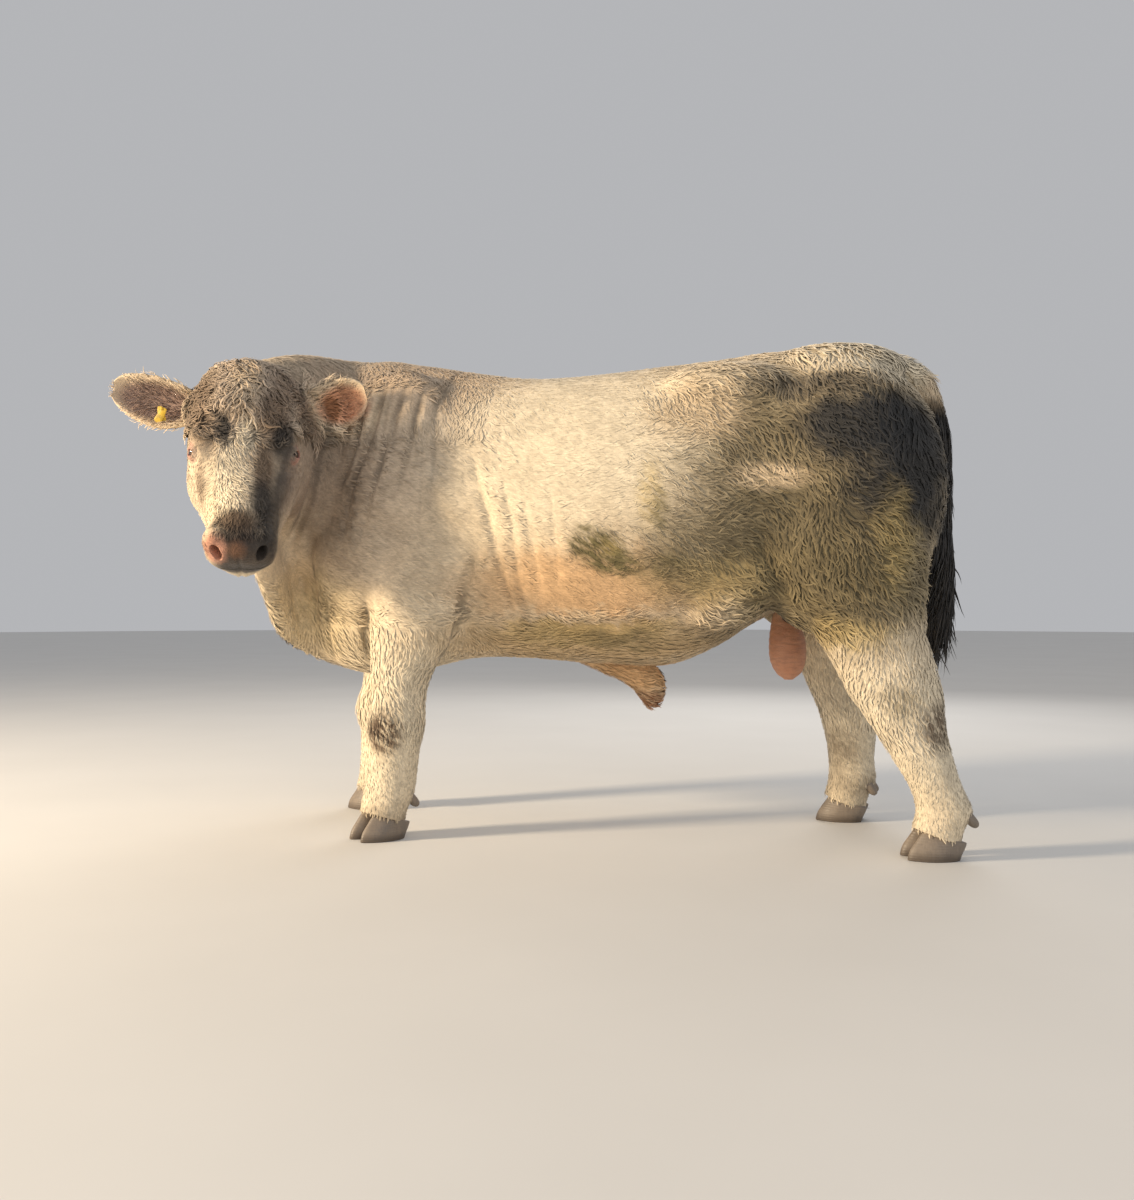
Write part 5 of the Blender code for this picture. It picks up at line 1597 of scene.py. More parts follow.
def marked(tree):
    place = body_place(tree)
    group = tree.nodes.new("ShaderNodeGroup")
    group.node_tree = markings()
    tree.links.new(place, group.inputs["Place"])
    return place, group.outputs["Colour"]


def stretched(tree, place, factors):
    return vectors(tree, "MULTIPLY", place, factors)


def crease_dirt_and_painted_shade(tree):
    """Darker in the creases: dirt that gathers there, with painted shade where the folds close."""
    return between(tree, attribute(tree, "hollow"), 0.05, 0.9, 1.0, 0.45)


def skin_material():
    """Short flat hair on skin: fine streaks along the body and down the legs, bare on nose and lids."""
    made, tree, shader = new_material("skin_and_short_hair")
    place, colour = marked(tree)
    parts = put(tree, "ShaderNodeSeparateXYZ", i0=place)
    height = parts.outputs[2]
    on_legs = between(tree, height, 0.50, 0.66, 1.0, 0.0)
    flat_hair = noise(tree, stretched(tree, place, (0.18, 1.0, 1.0)), 260.0, 2.0, 0.6)
    leg_hair = noise(tree, stretched(tree, place, (1.0, 1.0, 0.18)), 260.0, 2.0, 0.6)
    hair = mixed(tree, on_legs, flat_hair, leg_hair)
    clumps = noise(tree, stretched(tree, place, (0.5, 1.0, 1.0)), 60.0, 3.0, 0.6)
    creases = noise(tree, stretched(tree, place, (1.0, 1.0, 0.16)), 85.0, 3.0, 0.6)
    pad = blob(tree, place, at_head(0.590, -0.085, 0.0), (0.075, 0.085, 0.075), 0.25)
    pebbles = put(tree, "ShaderNodeTexVoronoi", Vector=place, Scale=230.0)
    wander = times(tree, noise(tree, place, 16.0, 3.0, 0.6), 34.0)
    upright = sums(tree, "SINE", plus(tree, times(tree, parts.outputs[0], 300.0), wander))
    band = blob(tree, place, (0.24, 0.0, 1.32), (0.30, 0.60, 0.22), 0.3)
    upright = times(tree, upright, times(tree, band, 0.35))
    level = plus(tree, hair, times(tree, clumps, 0.9))
    level = plus(tree, level, times(tree, creases, 1.1))
    level = plus(tree, level, upright)
    bare_level = times(tree, pebbles.outputs["Distance"], 1.2)
    level = mixed(tree, pad, level, bare_level)
    bumped(tree, shader, 0.55, 0.0022, level)
    shadow = between(tree, hair, 0.30, 0.70, 0.84, 1.06)
    # Hair streaks, and dirt with painted shade in the creases.
    colour = dimmed(tree, colour, times(tree, shadow, crease_dirt_and_painted_shade(tree)))
    tree.links.new(colour, shader.inputs["Base Color"])
    tree.links.new(between(tree, pad, 0.0, 1.0, 0.82, 0.42), shader.inputs["Roughness"])
    shader.inputs["Sheen Weight"].default_value = 0.10
    shader.inputs["Sheen Roughness"].default_value = 0.5
    shader.inputs["Specular IOR Level"].default_value = 0.25
    return made


def coat_material(name, root_shade, tip_shade, spread):
    """Hair that is darker at the root, as painted shade between the tufts, and lighter at the tip, each
    tuft its own tone.
    """
    made, tree, shader = new_material(name)
    place, colour = marked(tree)
    across, along, shade = (attribute(tree, name) for name in ("across", "along", "shade"))
    # Darker roots are painted shade in the gaps between tufts; the tips are lighter.
    rise = between(tree, along, 0.0, 0.9, root_shade, tip_shade)
    own = between(tree, shade, 0.0, 1.0, 1 - spread, 1 + spread)
    fibre = tree.nodes.new("ShaderNodeCombineXYZ")
    for i, (value, pace) in enumerate(((across, 7.0), (along, 1.3), (shade, 60.0))):
        tree.links.new(times(tree, value, pace), fibre.inputs[i])
    fine = noise(tree, fibre.outputs[0], 1.0, 2.0, 0.6)
    strands = between(tree, fine, 0.32, 0.68, 1 - 1.5 * spread, 1 + 1.2 * spread)
    # Painted shade at the roots and in the creases, with dirt in the creases too.
    value = times(tree, times(tree, rise, own), times(tree, strands, crease_dirt_and_painted_shade(tree)))
    tree.links.new(dimmed(tree, colour, value), shader.inputs["Base Color"])
    hair = noise(tree, place, 700.0, 1.0, 0.5)
    bumped(tree, shader, 0.25, 0.0006, hair)
    shader.inputs["Roughness"].default_value = 0.72
    shader.inputs["Sheen Weight"].default_value = 0.12
    shader.inputs["Sheen Roughness"].default_value = 0.4
    shader.inputs["Specular IOR Level"].default_value = 0.28
    return made


def switch_material():
    made, tree, shader = new_material("dark_tail_hair")
    place = body_place(tree)
    streak = noise(tree, stretched(tree, place, (1.0, 1.0, 0.1)), 300.0, 2.0, 0.6)
    share = times(tree, attribute(tree, "shade"), streak)
    colour = mixed(tree, share, (0.012, 0.011, 0.011), (0.085, 0.070, 0.055))
    tree.links.new(colour, shader.inputs["Base Color"])
    bumped(tree, shader, 0.3, 0.0006, streak)
    shader.inputs["Roughness"].default_value = 0.55
    return made


def horn_material():
    """Grey-brown horn with growth rings, muddy towards the ground."""
    made, tree, shader = new_material("hoof_horn")
    place = body_place(tree)
    parts = put(tree, "ShaderNodeSeparateXYZ", i0=place)
    rings = sums(tree, "SINE", times(tree, parts.outputs[2], 900.0))
    wander = noise(tree, place, 40.0, 3.0, 0.6)
    grain = noise(tree, stretched(tree, place, (1.0, 1.0, 0.1)), 200.0, 2.0, 0.6)
    colour = mixed(tree, wander, (0.10, 0.080, 0.062), (0.26, 0.21, 0.165))
    colour = mixed(tree, times(tree, grain, 0.5), colour, (0.34, 0.28, 0.22))
    dirt = between(tree, parts.outputs[2], 0.004, 0.030, 0.75, 0.0)
    colour = mixed(tree, dirt, colour, (0.07, 0.05, 0.035))
    tree.links.new(colour, shader.inputs["Base Color"])
    level = plus(tree, times(tree, rings, 0.35), times(tree, wander, 1.2))
    bumped(tree, shader, 0.4, 0.0012, level)
    tree.links.new(between(tree, wander, 0.3, 0.7, 0.42, 0.62), shader.inputs["Roughness"])
    return made


def bare_material():
    """Bare pink-brown skin with fine creases across."""
    made, tree, shader = new_material("bare_skin")
    place = body_place(tree)
    parts = put(tree, "ShaderNodeSeparateXYZ", i0=place)
    wander = noise(tree, place, 18.0, 4.0, 0.6)
    colour = mixed(tree, wander, (0.50, 0.21, 0.115), (0.70, 0.37, 0.225))
    creases = noise(tree, stretched(tree, place, (0.35, 0.35, 1.6)), 90.0, 4.0, 0.7)
    pores = put(tree, "ShaderNodeTexVoronoi", Vector=place, Scale=320.0)
    colour = mixed(tree, between(tree, creases, 0.35, 0.6, 0.35, 0.0), colour, (0.27, 0.13, 0.095))
    # Duller towards the body: painted shade at the top of the scrotum, under the belly.
    near_body = between(tree, parts.outputs[2], 0.60, 0.70, 0.0, 0.8)
    colour = mixed(tree, near_body, colour, (0.50, 0.40, 0.29))
    tree.links.new(colour, shader.inputs["Base Color"])
    level = plus(tree, creases, times(tree, pores.outputs["Distance"], 0.4))
    bumped(tree, shader, 0.6, 0.0022, level)
    shader.inputs["Roughness"].default_value = 0.55
    shader.inputs["Subsurface Weight"].default_value = 0.08
    shader.inputs["Subsurface Radius"].default_value = (0.02, 0.008, 0.005)
    return made


def distance(tree, a, b):
    return sums(tree, "SQRT", plus(tree, times(tree, a, a), times(tree, b, b)))


def eye_material(side):
    """Brown iris with a level oval pupil, bloodshot white at the corners."""
    made, tree, shader = new_material("eye_left_look" if side > 0 else "eye_right_look")
    place = body_place(tree)
    centre, forward, upward, outward = eye_axes(side)
    moved = vectors(tree, "SUBTRACT", place, tuple(centre))
    across = sums(tree, "DIVIDE", vectors(tree, "DOT_PRODUCT", moved, tuple(forward)), EYE_RADIUS)
    rise = sums(tree, "DIVIDE", vectors(tree, "DOT_PRODUCT", moved, tuple(upward)), EYE_RADIUS)
    reach = distance(tree, across, rise)
    slit = distance(tree, sums(tree, "DIVIDE", across, 0.40), sums(tree, "DIVIDE", rise, 0.22))
    grain = noise(tree, place, 500.0, 3.0, 0.6)
    iris = mixed(tree, grain, (0.030, 0.014, 0.008), (0.10, 0.050, 0.025))
    white = mixed(tree, noise(tree, place, 260.0, 4.0, 0.7), (0.42, 0.33, 0.29), (0.30, 0.14, 0.11))
    colour = mixed(tree, between(tree, reach, 0.62, 0.72), iris, white)
    colour = mixed(tree, between(tree, slit, 0.85, 1.10, 1.0, 0.0), colour, (0.004, 0.005, 0.010))
    tree.links.new(colour, shader.inputs["Base Color"])
    shader.inputs["Roughness"].default_value = 0.06
    shader.inputs["Coat Weight"].default_value = 1.0
    shader.inputs["Coat Roughness"].default_value = 0.03
    return made


def tag_material():
    made, tree, shader = new_material("yellow_tag")
    place = body_place(tree)
    wear = noise(tree, place, 60.0, 4.0, 0.65)
    worn = between(tree, wear, 0.40, 0.70, 0.0, 0.65)
    colour = mixed(tree, worn, (0.66, 0.44, 0.040), (0.30, 0.22, 0.07))
    tree.links.new(colour, shader.inputs["Base Color"])
    bumped(tree, shader, 0.3, 0.0006, wear)
    tree.links.new(between(tree, wear, 0.3, 0.7, 0.40, 0.60), shader.inputs["Roughness"])
    return made


# Pieces beside the skin


def dress(body, material, nodes):
    body.data.transform(Matrix.Translation(SHIFT))
    body.data.materials.clear()
    body.data.materials.append(material)
    for polygon in body.data.polygons:
        polygon.use_smooth = True
    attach(body, "root")
    if nodes:
        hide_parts(*nodes)


def hoof(foot, side):
    """One claw from its flat sole up into the coronet, with a rounded wall and toe."""
    point, normal, way = coronet_plane(foot)
    across = Vector((-way.y, way.x, 0)) * side
    levels = [
        # height share, forward shift, half length, half width
        (0.0, 0.0215, 0.0685, 0.0325),
        (0.05, 0.0218, 0.0705, 0.0336),
        (0.30, 0.0165, 0.0695, 0.0338),
        (0.60, 0.0050, 0.0650, 0.0325),
        (0.90, -0.0050, 0.0600, 0.0305),
        (1.0, -0.0080, 0.0570, 0.0290),
    ]
    rings = []
    for share, shift, long, wide in smooth_rows(levels, 5):
        ring = []
        for i in range(36):
            angle = 2 * math.pi * i / 36
            ahead = math.cos(angle)
            out = math.sin(angle)
            reach = wide * (1.0 - CLAW_TAPER * max(ahead, 0.0) ** 2)
            lateral = reach * out if out > 0 else 0.80 * wide * out
            spot = way * (shift + long * ahead) + across * (CLAW_APART + lateral)
            spot = Vector((point.x + spot.x, point.y + spot.y, 0))
            forward = (spot - Vector((point.x, point.y, 0))).dot(way)
            rim = point.z + forward * RIM_SLOPE + 0.004 * (1 - ahead)
            spot.z = rim * share + SOLE_CLEARANCE
            ring.append(spot)
        rings.append(ring)
    return skin_rings("hoof", rings)


def hooves():
    made = [hoof(foot, side) for foot in FEET for side in (-1, 1)]
    names = [f"claw_{foot}_{part}" for foot in FEET for part in ("inner", "outer")]
    body = joined("hooves", made)
    dress(body, horn_material(), names)


def dewclaws():
    body = joined("dewclaws", [dewclaw(foot, side) for foot in FEET for side in (-1, 1)])
    step = body.modifiers.new("round", "SUBSURF")
    step.levels = 2
    step.render_levels = 2
    bake(body)
    dress(body, horn_material(), [])


def scrotum_piece():
    rows = [
        (1.262, 0.0, 0.735, 0.030, 0.030),
        (1.262, 0.0, 0.680, 0.033, 0.035),
        (1.264, 0.0, 0.630, 0.045, 0.047),
        (1.268, 0.0, 0.575, 0.057, 0.059),
        (1.270, 0.0, 0.520, 0.057, 0.059),
        (1.272, 0.0, 0.480, 0.041, 0.043),
        (1.272, 0.0, 0.458, 0.014, 0.014),
    ]
    rings = []
    for x, y, z, long, wide in smooth_rows(rows, 10):
        ring = oval(Vector((x, y, z)), ACROSS, AFT, wide, long, long, 48)
        cleft = 0.006 * max(0.0, min(1.0, (0.66 - z) / 0.10))
        for i, spot in enumerate(ring):
            angle = 2 * math.pi * i / 48
            dent = cleft * (math.exp(-((math.cos(angle)) / 0.20) ** 2))
            ripple = 0.0006 * math.sin(z * 300 + 2.0 * math.sin(3 * angle))
            inward = (Vector((x, y, z)) - spot).normalized()
            ring[i] = spot + inward * (dent + ripple + 0.001)
        rings.append(ring)
    body = skin_rings("scrotum_skin", rings)
    dress(body, bare_material(), ["scrotum"])


def eyes():
    for side in (-1, 1):
        body = eyeball(side, EYE_RADIUS - 0.0005)
        body.name = "eyeball_left" if side > 0 else "eyeball_right"
        dress(body, eye_material(side), ["eye_left" if side > 0 else "eye_right"])


def tag_panels():
    """Two thin rounded panels that hang from one round stud in the right ear."""
    start, way, along, front, down = ear_axes(-1)
    middle = start + along * 0.098 + down * 0.042 - front * 0.010
    pieces = []
    for lean, ahead, tall in ((-0.40, -0.0002, 0.048), (0.32, -0.0045, 0.052)):
        spin = Matrix.Rotation(lean, 3, front)
        low = spin @ down
        wide = spin @ along
        outline = []
        for i in range(32):
            angle = 2 * math.pi * i / 32
            c = math.copysign(abs(math.cos(angle)) ** 0.45, math.cos(angle))
            s = math.copysign(abs(math.sin(angle)) ** 0.45, math.sin(angle))
            taper = 0.82 + 0.18 * s
            outline.append((0.0125 * c * taper, 0.5 * tall * s))
        rings = []
        for depth, size in ((0.0, 0.96), (0.0003, 1.0), (0.0015, 1.0), (0.0018, 0.96)):
            ring = []
            for u, v in outline:
                ring.append(middle + front * (ahead + depth) + wide * u * size + low * (v * size))
            rings.append(ring)
        pieces.append(skin_rings("panel", rings))
    rings = []
    for depth, size in ((-0.006, 0.0045), (0.0022, 0.0050), (0.0032, 0.0042), (0.0036, 0.0020)):
        rings.append(oval(middle - down * 0.019 + front * depth, along, down, size, size, size, 20))
    pieces.append(skin_rings("stud", rings))
    body = joined("ear_tag_panels", pieces)
    dress(body, tag_material(), ["ear_tag"])


def pick(density, chosen):
    """The density where chosen, less where chosen in part, and none elsewhere."""
    return density * chosen.astype(float)


def coat_regions(skin):
    """Which triangles of the skin belong to each kind of coat."""
    places = skin.middles
    x, y, z = places.T
    found = in_regions(places)
    a, b, s = head_places(places).T
    head, neck = found["head"], found["neck"]
    aside = np.abs(s)
    rough = waves(places, 14, 50) * 0.035
    eye_gap = np.hypot(np.hypot(a - EYE_PLACE[0], b - EYE_PLACE[1]), aside - EYE_PLACE[2] - 0.012)
    pad = (a > 0.545) & (b > -0.145) & (aside < 0.085)
    pad |= (a > 0.50) & (b > -0.115) & (b < -0.03) & (aside > 0.03) & (aside < 0.085)
    bare = (eye_gap < EYE_HOLE) | pad
    ears = np.zeros(len(places), bool)
    cups = np.zeros(len(places), bool)
    locks = np.zeros(len(places), bool)
    tips = np.zeros(len(places), bool)
    rims = np.zeros(len(places), bool)
    for number in (-1, 1):
        start, way, straight, front, down = ear_axes(number)
        moved = places - np.array(start)
        share = moved @ np.array(straight)
        lift = moved @ np.array(front)
        wide = moved @ np.array(down)
        leaf = (share > 0.012) & (s * number > EAR_ASIDE)
        leaf &= (np.abs(wide) < 0.11) & (np.abs(lift) < 0.075)
        ears |= leaf
        facing = skin.flats @ np.array(front)
        cups |= leaf & (facing > 0.25) & (share < 0.68 * way.length)
        tips |= leaf & (share > 0.86 * way.length)
        if number > 0:
            locks = leaf & (facing > 0.1) & (share < 0.46 * way.length)
        rims |= leaf & (np.abs(facing) < 0.30)
    tail = (x > 1.610) & (np.abs(y) < 0.062) & (z < 1.345) & (z > 0.5) & ~found["legs"]
    tail &= (x > 1.655) | (z > 1.24)
    sheath_tip = (np.hypot(x - 0.860, y) < 0.06) & (z < 0.420)
    leg_part = (np.abs(y) > 0.09) & ((x < 0.42) | (x > 1.12)) & ~head
    legs = (z < 0.62 + rough) & leg_part & ~neck
    leg_tops = (leg_part & (z > 0.30)) * np.clip((0.72 - z + rough) / 0.16, 0, 1)
    patch = (np.hypot((x - 0.79) / 0.13, (z - 0.825) / 0.075) < 1 + 6 * rough) & (y < -0.2)
    rear = ((x > 0.80) | patch) & ~legs & ~tail & (z > 0.60)
    rear = rear * np.maximum(np.clip((x - 0.80 - 2 * rough) / 0.22, 0, 1), patch)
    behind = rear > 0.6
    under = (z < 0.63 + rough) & ~legs & ~head & (x > -0.40) & ~behind
    mouth = head & (a > 0.42) & (np.abs(b + 0.128) < 0.010)
    edge = 0.26 - 1.6 * np.clip(aside - 0.10, 0, 1) + 0.8 * rough
    forehead = head & (a < edge) & (b > -0.080 - 0.10 * np.clip(a, 0, 1)) & ~ears & ~bare
    bridge = head & ~forehead & (a < 0.535) & (aside < 0.068) & (b > -0.075) & ~bare
    face = head & ~forehead & ~bridge & ~bare & ~ears & ~mouth
    mirrored = places * np.array([1.0, -1.0, 1.0])
    ridge = along_path(places, BELLY_RIDGE, 0.022) + along_path(mirrored, BELLY_RIDGE, 0.022)
    withers = np.clip((z - 1.08) / 0.20, 0, 1)
    withers = withers * np.clip((x + 0.32) / 0.12, 0, 1) * np.clip((0.50 - x) / 0.16, 0, 1)
    withers *= ~(head | ears)
    front = ~(head | neck | legs | behind | under | tail | ears)
    return {
        "face": face,
        "forehead": forehead,
        "bridge": bridge,
        "neck": neck & ~under & ~ears,
        "front": front,
        "withers": withers,
        "under": under & ~sheath_tip,
        "ridge": ridge > 0.35,
        "rear": rear,
        "leg_tops": leg_tops,
        "feet": legs & (z <= 0.30) & (z > 0.052),
        "ear_backs": ears & ~cups & ~tips,
        "ear_rims": rims,
        "ear_cups": cups,
        "tail_root": tail & (z > 1.20),
        "tail_sides": tail & (z <= 1.24) & (z > 0.80),
        "tail_end": tail & (z <= 0.92) & (z > 0.66),
        "sheath_tip": sheath_tip,
        "x": x,
        "forelock": forehead & (aside < 0.055 + rough) & (a > -0.06) & (a < 0.20),
        "ear_locks": locks,
    }


def tufts(skin, name, density, rows, seed, look, twist, sway, material, **ways):
    """A piece of coat: roots are drawn, laid along the coat and turned a little, then grown.

    look holds the low and high of length, half width, thickness, lift, wave, sink and bend."""
    fit = ways.pop("fit", None)
    face, spot, normal = skin.roots(density, seed)
    lie = lie_field(spot, normal)
    side = np.cross(lie, normal)
    draw = np.random.default_rng(seed + 100)
    turn = waves(spot, sway, seed) * twist + draw.normal(0, 0.10, len(spot))
    lie = lie * np.cos(turn)[:, None] + side * np.sin(turn)[:, None]
    lie += normal * ways.pop("stand", 0.0)
    lie /= np.linalg.norm(lie, axis=1, keepdims=True)
    values = [draw.uniform(low, high, len(spot)) for low, high in look]
    if fit is not None:
        scale = fit(spot)
        for i in (0, 1, 3, 4):
            values[i] = values[i] * scale
    if ways.pop("both_ways", False):
        values[6] = values[6] * np.where(waves(spot, 120, seed + 9) > 0, 1.0, -1.0)
    body = grow(name, skin, face, spot, normal, lie, values, rows, seed + 200, **ways)
    body.data.materials.append(material)
    body.data.transform(Matrix.Translation(SHIFT))
    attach(body, "root")
    return body


def longer_behind(spot):
    """Short where the long coat of the hindquarters begins, full length further back."""
    return 0.40 + 0.60 * np.clip((spot[:, 0] - 0.82) / 0.36, 0, 1)


def coat(skin):
    """All tufts, region by region, from short flat ones to curls and the long switch."""
    where = coat_regions(skin)
    short = coat_material("short_coat", 0.92, 1.05, 0.07)
    wavy = coat_material("wavy_coat", 0.52, 1.20, 0.18)
    curly = coat_material("curly_coat", 0.36, 1.22, 0.22)
    matted = coat_material("matted_coat", 0.62, 1.18, 0.16)
    pale = coat_material("pale_fringe", 0.95, 1.30, 0.08)
    soft = coat_material("soft_coat", 0.82, 1.10, 0.10)
    dark = switch_material()
    none = (0.0, 0.0)
    tufts(skin, "coat_face", pick(24000, where["face"]), 2, 1,
          [(0.010, 0.017), (0.0010, 0.0017), (0.0003, 0.0005), (0.0006, 0.0018), none,
           (0.0008, 0.0008), (-0.4, 0.4)],
          0.45, 30, short, round_look=0.15)
    tufts(skin, "coat_bridge", pick(42000, where["bridge"]), 4, 18,
          [(0.020, 0.032), (0.0013, 0.0024), (0.0008, 0.0013), (0.0015, 0.0045), (0.002, 0.005),
           (0.001, 0.001), (-0.8, 0.8)],
          0.60, 44, wavy, round_look=0.5, together=0.85)
    tufts(skin, "coat_forehead", pick(50000, where["forehead"]), 5, 2,
          [(0.024, 0.042), (0.0015, 0.0028), (0.0010, 0.0017), (0.004, 0.013), (0.002, 0.005),
           (0.002, 0.002), (1.0, 3.0)],
          1.1, 70, curly, round_look=0.7, both_ways=True, together=0.6)
    tufts(skin, "coat_forelock", pick(11000, where["forelock"]), 6, 21,
          [(0.045, 0.075), (0.0022, 0.0040), (0.0012, 0.0020), (0.005, 0.014), (0.006, 0.012),
           (0.002, 0.002), (-0.7, 0.7)],
          0.5, 36, wavy, round_look=0.7, together=0.85)
    tufts(skin, "coat_withers", pick(11000, where["withers"]), 4, 20,
          [(0.024, 0.040), (0.0014, 0.0028), (0.0006, 0.0012), (0.0010, 0.0035), (0.003, 0.006),
           (0.001, 0.001), (-0.6, 0.6)],
          0.35, 24, soft, round_look=0.45, together=0.9)
    tufts(skin, "coat_neck", pick(9500, where["neck"]), 2, 3,
          [(0.020, 0.032), (0.0014, 0.0026), (0.0004, 0.0007), (0.0006, 0.0016), none,
           (0.001, 0.001), (-0.5, 0.5)],
          0.30, 16, short, round_look=0.22)
    tufts(skin, "coat_body", pick(6400, where["front"]), 2, 4,
          [(0.022, 0.036), (0.0018, 0.0032), (0.0004, 0.0007), (0.0006, 0.0018), none,
           (0.001, 0.001), (-0.6, 0.6)],
          0.35, 13, short, round_look=0.22)
    tufts(skin, "coat_under", pick(5500, where["under"]), 3, 5,
          [(0.026, 0.045), (0.0022, 0.0036), (0.0007, 0.0012), (0.0015, 0.0045), (0.001, 0.003),
           (0.001, 0.001), (-0.6, 0.6)],
          0.40, 13, soft, round_look=0.35, together=0.6)
    tufts(skin, "coat_ridge", pick(9000, where["ridge"]), 5, 19,
          [(0.028, 0.042), (0.0022, 0.0038), (0.0008, 0.0014), (0.002, 0.006), (0.002, 0.004),
           (0.001, 0.001), (-0.7, 0.7)],
          0.40, 18, soft, round_look=0.4, together=0.7)
    for number, band in enumerate((where["x"] < 1.30, where["x"] >= 1.30)):
        tufts(skin, "coat_rear_" + "ab"[number], pick(7600, where["rear"] * band), 4, 6 + number,
              [(0.042, 0.066), (0.0024, 0.0046), (0.0010, 0.0018), (0.0020, 0.0065), (0.004, 0.009),
               (0.001, 0.001), (-0.9, 0.9)],
              0.60, 26, matted, round_look=0.5, together=0.85, fit=longer_behind)
    tufts(skin, "coat_leg_tops", pick(7600, where["leg_tops"]), 3, 9,
          [(0.024, 0.038), (0.0022, 0.0036), (0.0008, 0.0013), (0.0015, 0.0045), (0.0015, 0.0035),
           (0.001, 0.001), (-0.6, 0.6)],
          0.40, 18, soft, round_look=0.4, together=0.7)
    tufts(skin, "coat_feet", pick(11000, where["feet"]), 2, 10,
          [(0.010, 0.019), (0.0018, 0.0030), (0.0005, 0.0009), (0.0008, 0.0026), (0.0005, 0.0015),
           (0.001, 0.001), (-0.5, 0.5)],
          0.30, 20, soft, round_look=0.3)
    tufts(skin, "coat_ears", pick(20000, where["ear_backs"]), 2, 11,
          [(0.008, 0.014), (0.0012, 0.0020), (0.0004, 0.0007), (0.0008, 0.0020), none,
           (0.001, 0.001), (-0.3, 0.3)],
          0.25, 30, short, round_look=0.0)
    tufts(skin, "coat_ear_fringe", pick(120000, where["ear_rims"]), 3, 12,
          [(0.008, 0.017), (0.0005, 0.0009), (0.0003, 0.0006), (0.000, 0.003), (0.0002, 0.001),
           (0.001, 0.001), (-0.9, 0.9)],
          0.5, 30, pale, round_look=0.0, stand=0.9)
    tufts(skin, "coat_ear_locks", pick(24000, where["ear_locks"]), 5, 22,
          [(0.028, 0.050), (0.0014, 0.0026), (0.0008, 0.0014), (0.006, 0.014), (0.002, 0.006),
           (0.001, 0.001), (-0.9, 0.9)],
          0.5, 30, pale, round_look=0.6, together=0.7)
    tufts(skin, "coat_ear_cups", pick(12000, where["ear_cups"]), 4, 13,
          [(0.020, 0.040), (0.0010, 0.0018), (0.0005, 0.0009), (0.002, 0.008), (0.0005, 0.003),
           (0.001, 0.001), (-0.9, 0.9)],
          0.4, 30, soft, round_look=0.0)
    tufts(skin, "coat_tail_root", pick(11000, where["tail_root"]), 3, 14,
          [(0.018, 0.030), (0.0018, 0.0030), (0.0006, 0.0010), (0.0010, 0.0030), none,
           (0.001, 0.001), (-0.4, 0.4)],
          0.2, 20, soft, round_look=0.3)
    tufts(skin, "tail_hair", pick(9000, where["tail_sides"]), 6, 15,
          [(0.07, 0.12), (0.0018, 0.0030), (0.0010, 0.0018), (0.002, 0.007), (0.002, 0.005),
           (0.001, 0.001), (-0.3, 0.3)],
          0.10, 20, dark, round_look=0.0)
    tufts(skin, "switch_hair", pick(15000, where["tail_end"]), 8, 16,
          [(0.12, 0.20), (0.0020, 0.0034), (0.0012, 0.0022), (0.003, 0.012), (0.003, 0.009),
           (0.001, 0.001), (-0.35, 0.35)],
          0.12, 20, dark, round_look=0.0)
    tufts(skin, "sheath_hair", pick(26000, where["sheath_tip"]), 5, 17,
          [(0.018, 0.034), (0.0014, 0.0024), (0.0009, 0.0014), (0.001, 0.005), (0.001, 0.004),
           (0.001, 0.001), (-0.6, 0.6)],
          0.25, 30, soft, round_look=0.5)


FLOOR_RADIUS = 30
FLOOR_SIDES = 64
SKY_STRENGTH = 0.56
LIT_POINT = (0.0, 0.0, 0.8)
LIGHTS = [
    # name, place, size, power, colour
    ("key", (-6.1, -3.2, 2.6), 1.0, 730.0, (1.0, 0.81, 0.57)),
    ("fill", (3.2, -4.6, 2.2), 3.5, 45.0, (0.95, 0.97, 1.0)),
    ("rim", (1.0, 4.8, 3.5), 3.0, 90.0, (1.0, 0.97, 0.93)),
]
# The photo's camera, in the withers frame: turned from square to the side towards the rear.
CAMERA_PLACE = (1.243, -3.639, 0.68)
CAMERA_TURN = 10.0
LENS = 36.0
PICTURE_RISE = 0.00417


def area_light(name, place, target, size, power, colour):
    lamp = bpy.data.lights.new(name, "AREA")
    lamp.size = size
    lamp.energy = power
    lamp.color = colour
    body = bpy.data.objects.new(name, lamp)
    body.location = place
    body.rotation_euler = (Vector(target) - Vector(place)).to_track_quat("-Z", "Y").to_euler()
    bpy.context.scene.collection.objects.link(body)


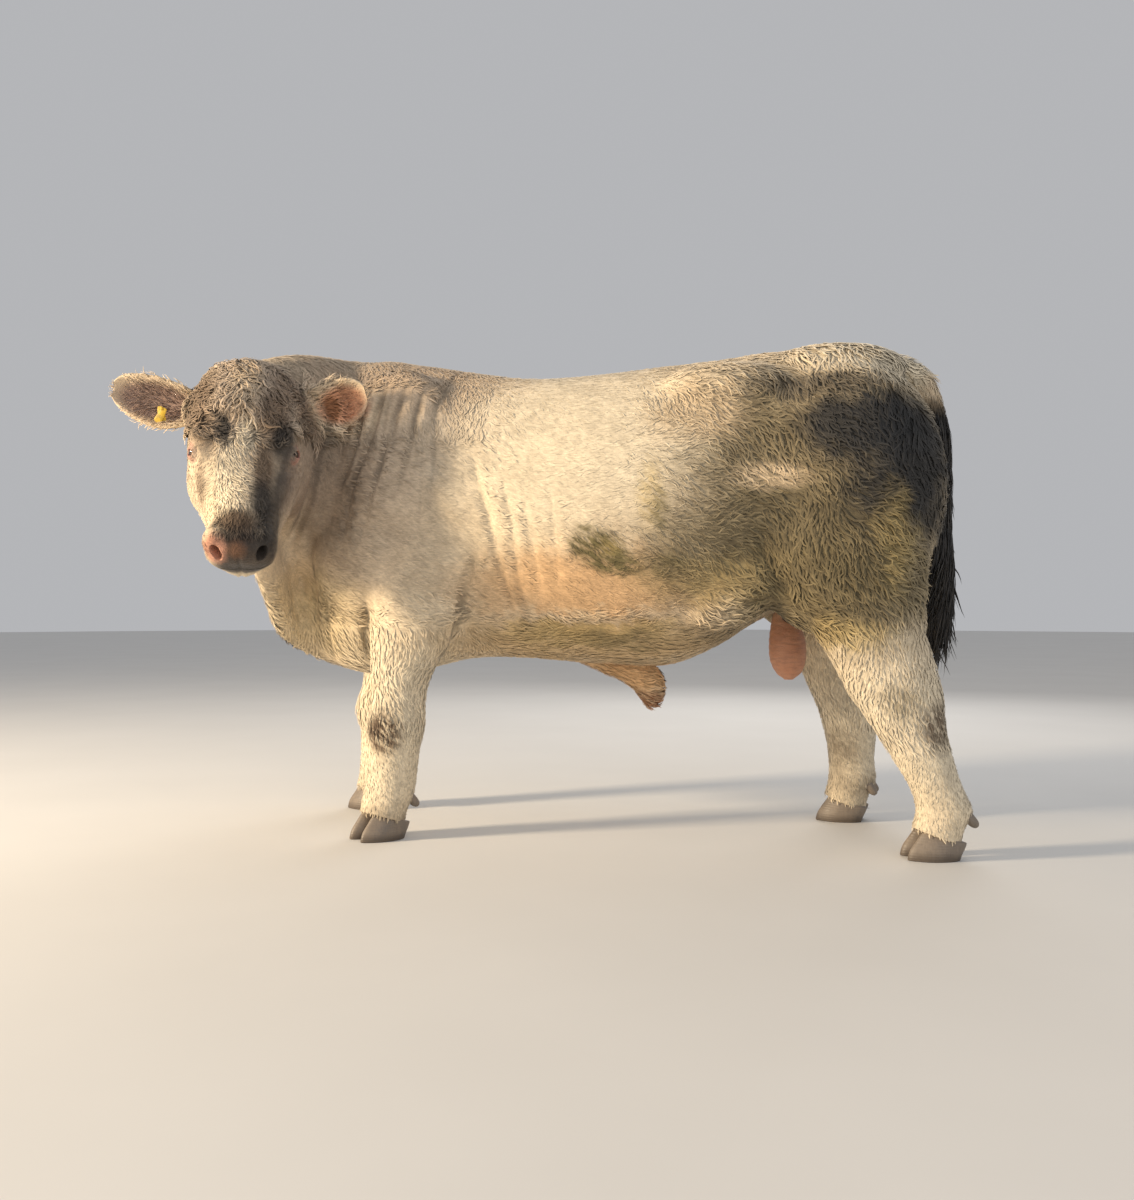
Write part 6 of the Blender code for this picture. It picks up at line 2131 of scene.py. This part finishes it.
def stage():
    mesh = bpy.data.meshes.new("studio_floor")
    turns = [2 * math.pi * i / FLOOR_SIDES for i in range(FLOOR_SIDES)]
    ring = [(FLOOR_RADIUS * math.cos(turn), FLOOR_RADIUS * math.sin(turn), 0.0) for turn in turns]
    mesh.from_pydata(ring, [], [tuple(range(FLOOR_SIDES))])
    floor = bpy.data.objects.new("studio_floor", mesh)
    bpy.context.scene.collection.objects.link(floor)
    made, tree, shader = new_material("studio_floor_look")
    place = tree.nodes.new("ShaderNodeTexCoord").outputs["Object"]
    tone = noise(tree, place, 1.5, 3.0, 0.5)
    colour = mixed(tree, tone, (0.64, 0.63, 0.61), (0.70, 0.69, 0.67))
    tree.links.new(colour, shader.inputs["Base Color"])
    shader.inputs["Roughness"].default_value = 0.9
    mesh.materials.append(made)
    world = bpy.data.worlds.new("studio")
    bpy.context.scene.world = world
    world.use_nodes = True
    back = world.node_tree.nodes["Background"]
    back.inputs[0].default_value = (0.82, 0.83, 0.86, 1.0)
    back.inputs[1].default_value = SKY_STRENGTH
    for name, place, size, power, colour in LIGHTS:
        area_light(name, place, LIT_POINT, size, power, colour)


def camera():
    data = bpy.data.cameras.new("camera")
    data.sensor_fit = "AUTO"
    data.sensor_width = 36.0
    data.lens = LENS
    data.shift_y = PICTURE_RISE
    data.clip_start = 0.05
    data.clip_end = 200.0
    body = bpy.data.objects.new("camera", data)
    turn = math.radians(CAMERA_TURN)
    back = Vector((math.sin(turn), -math.cos(turn), 0.0))
    body.location = Vector(CAMERA_PLACE) + SHIFT
    body.rotation_euler = (-back).to_track_quat("-Z", "Y").to_euler()
    bpy.context.scene.collection.objects.link(body)
    bpy.context.scene.camera = body


def main():
    body = bull_skin()
    skin = Skin(body)
    give_map(body, skin.map_of())
    coat(skin)
    nodes = ["head", "neck", "torso", "ear_left", "ear_right", "tail", "tail_switch", "sheath"]
    nodes += ["leg_" + foot for foot in FEET]
    dress(body, skin_material(), nodes)
    scrotum_piece()
    hooves()
    dewclaws()
    eyes()
    tag_panels()
    stage()
    camera()
    bpy.context.scene.view_settings.view_transform = "Standard"


main()
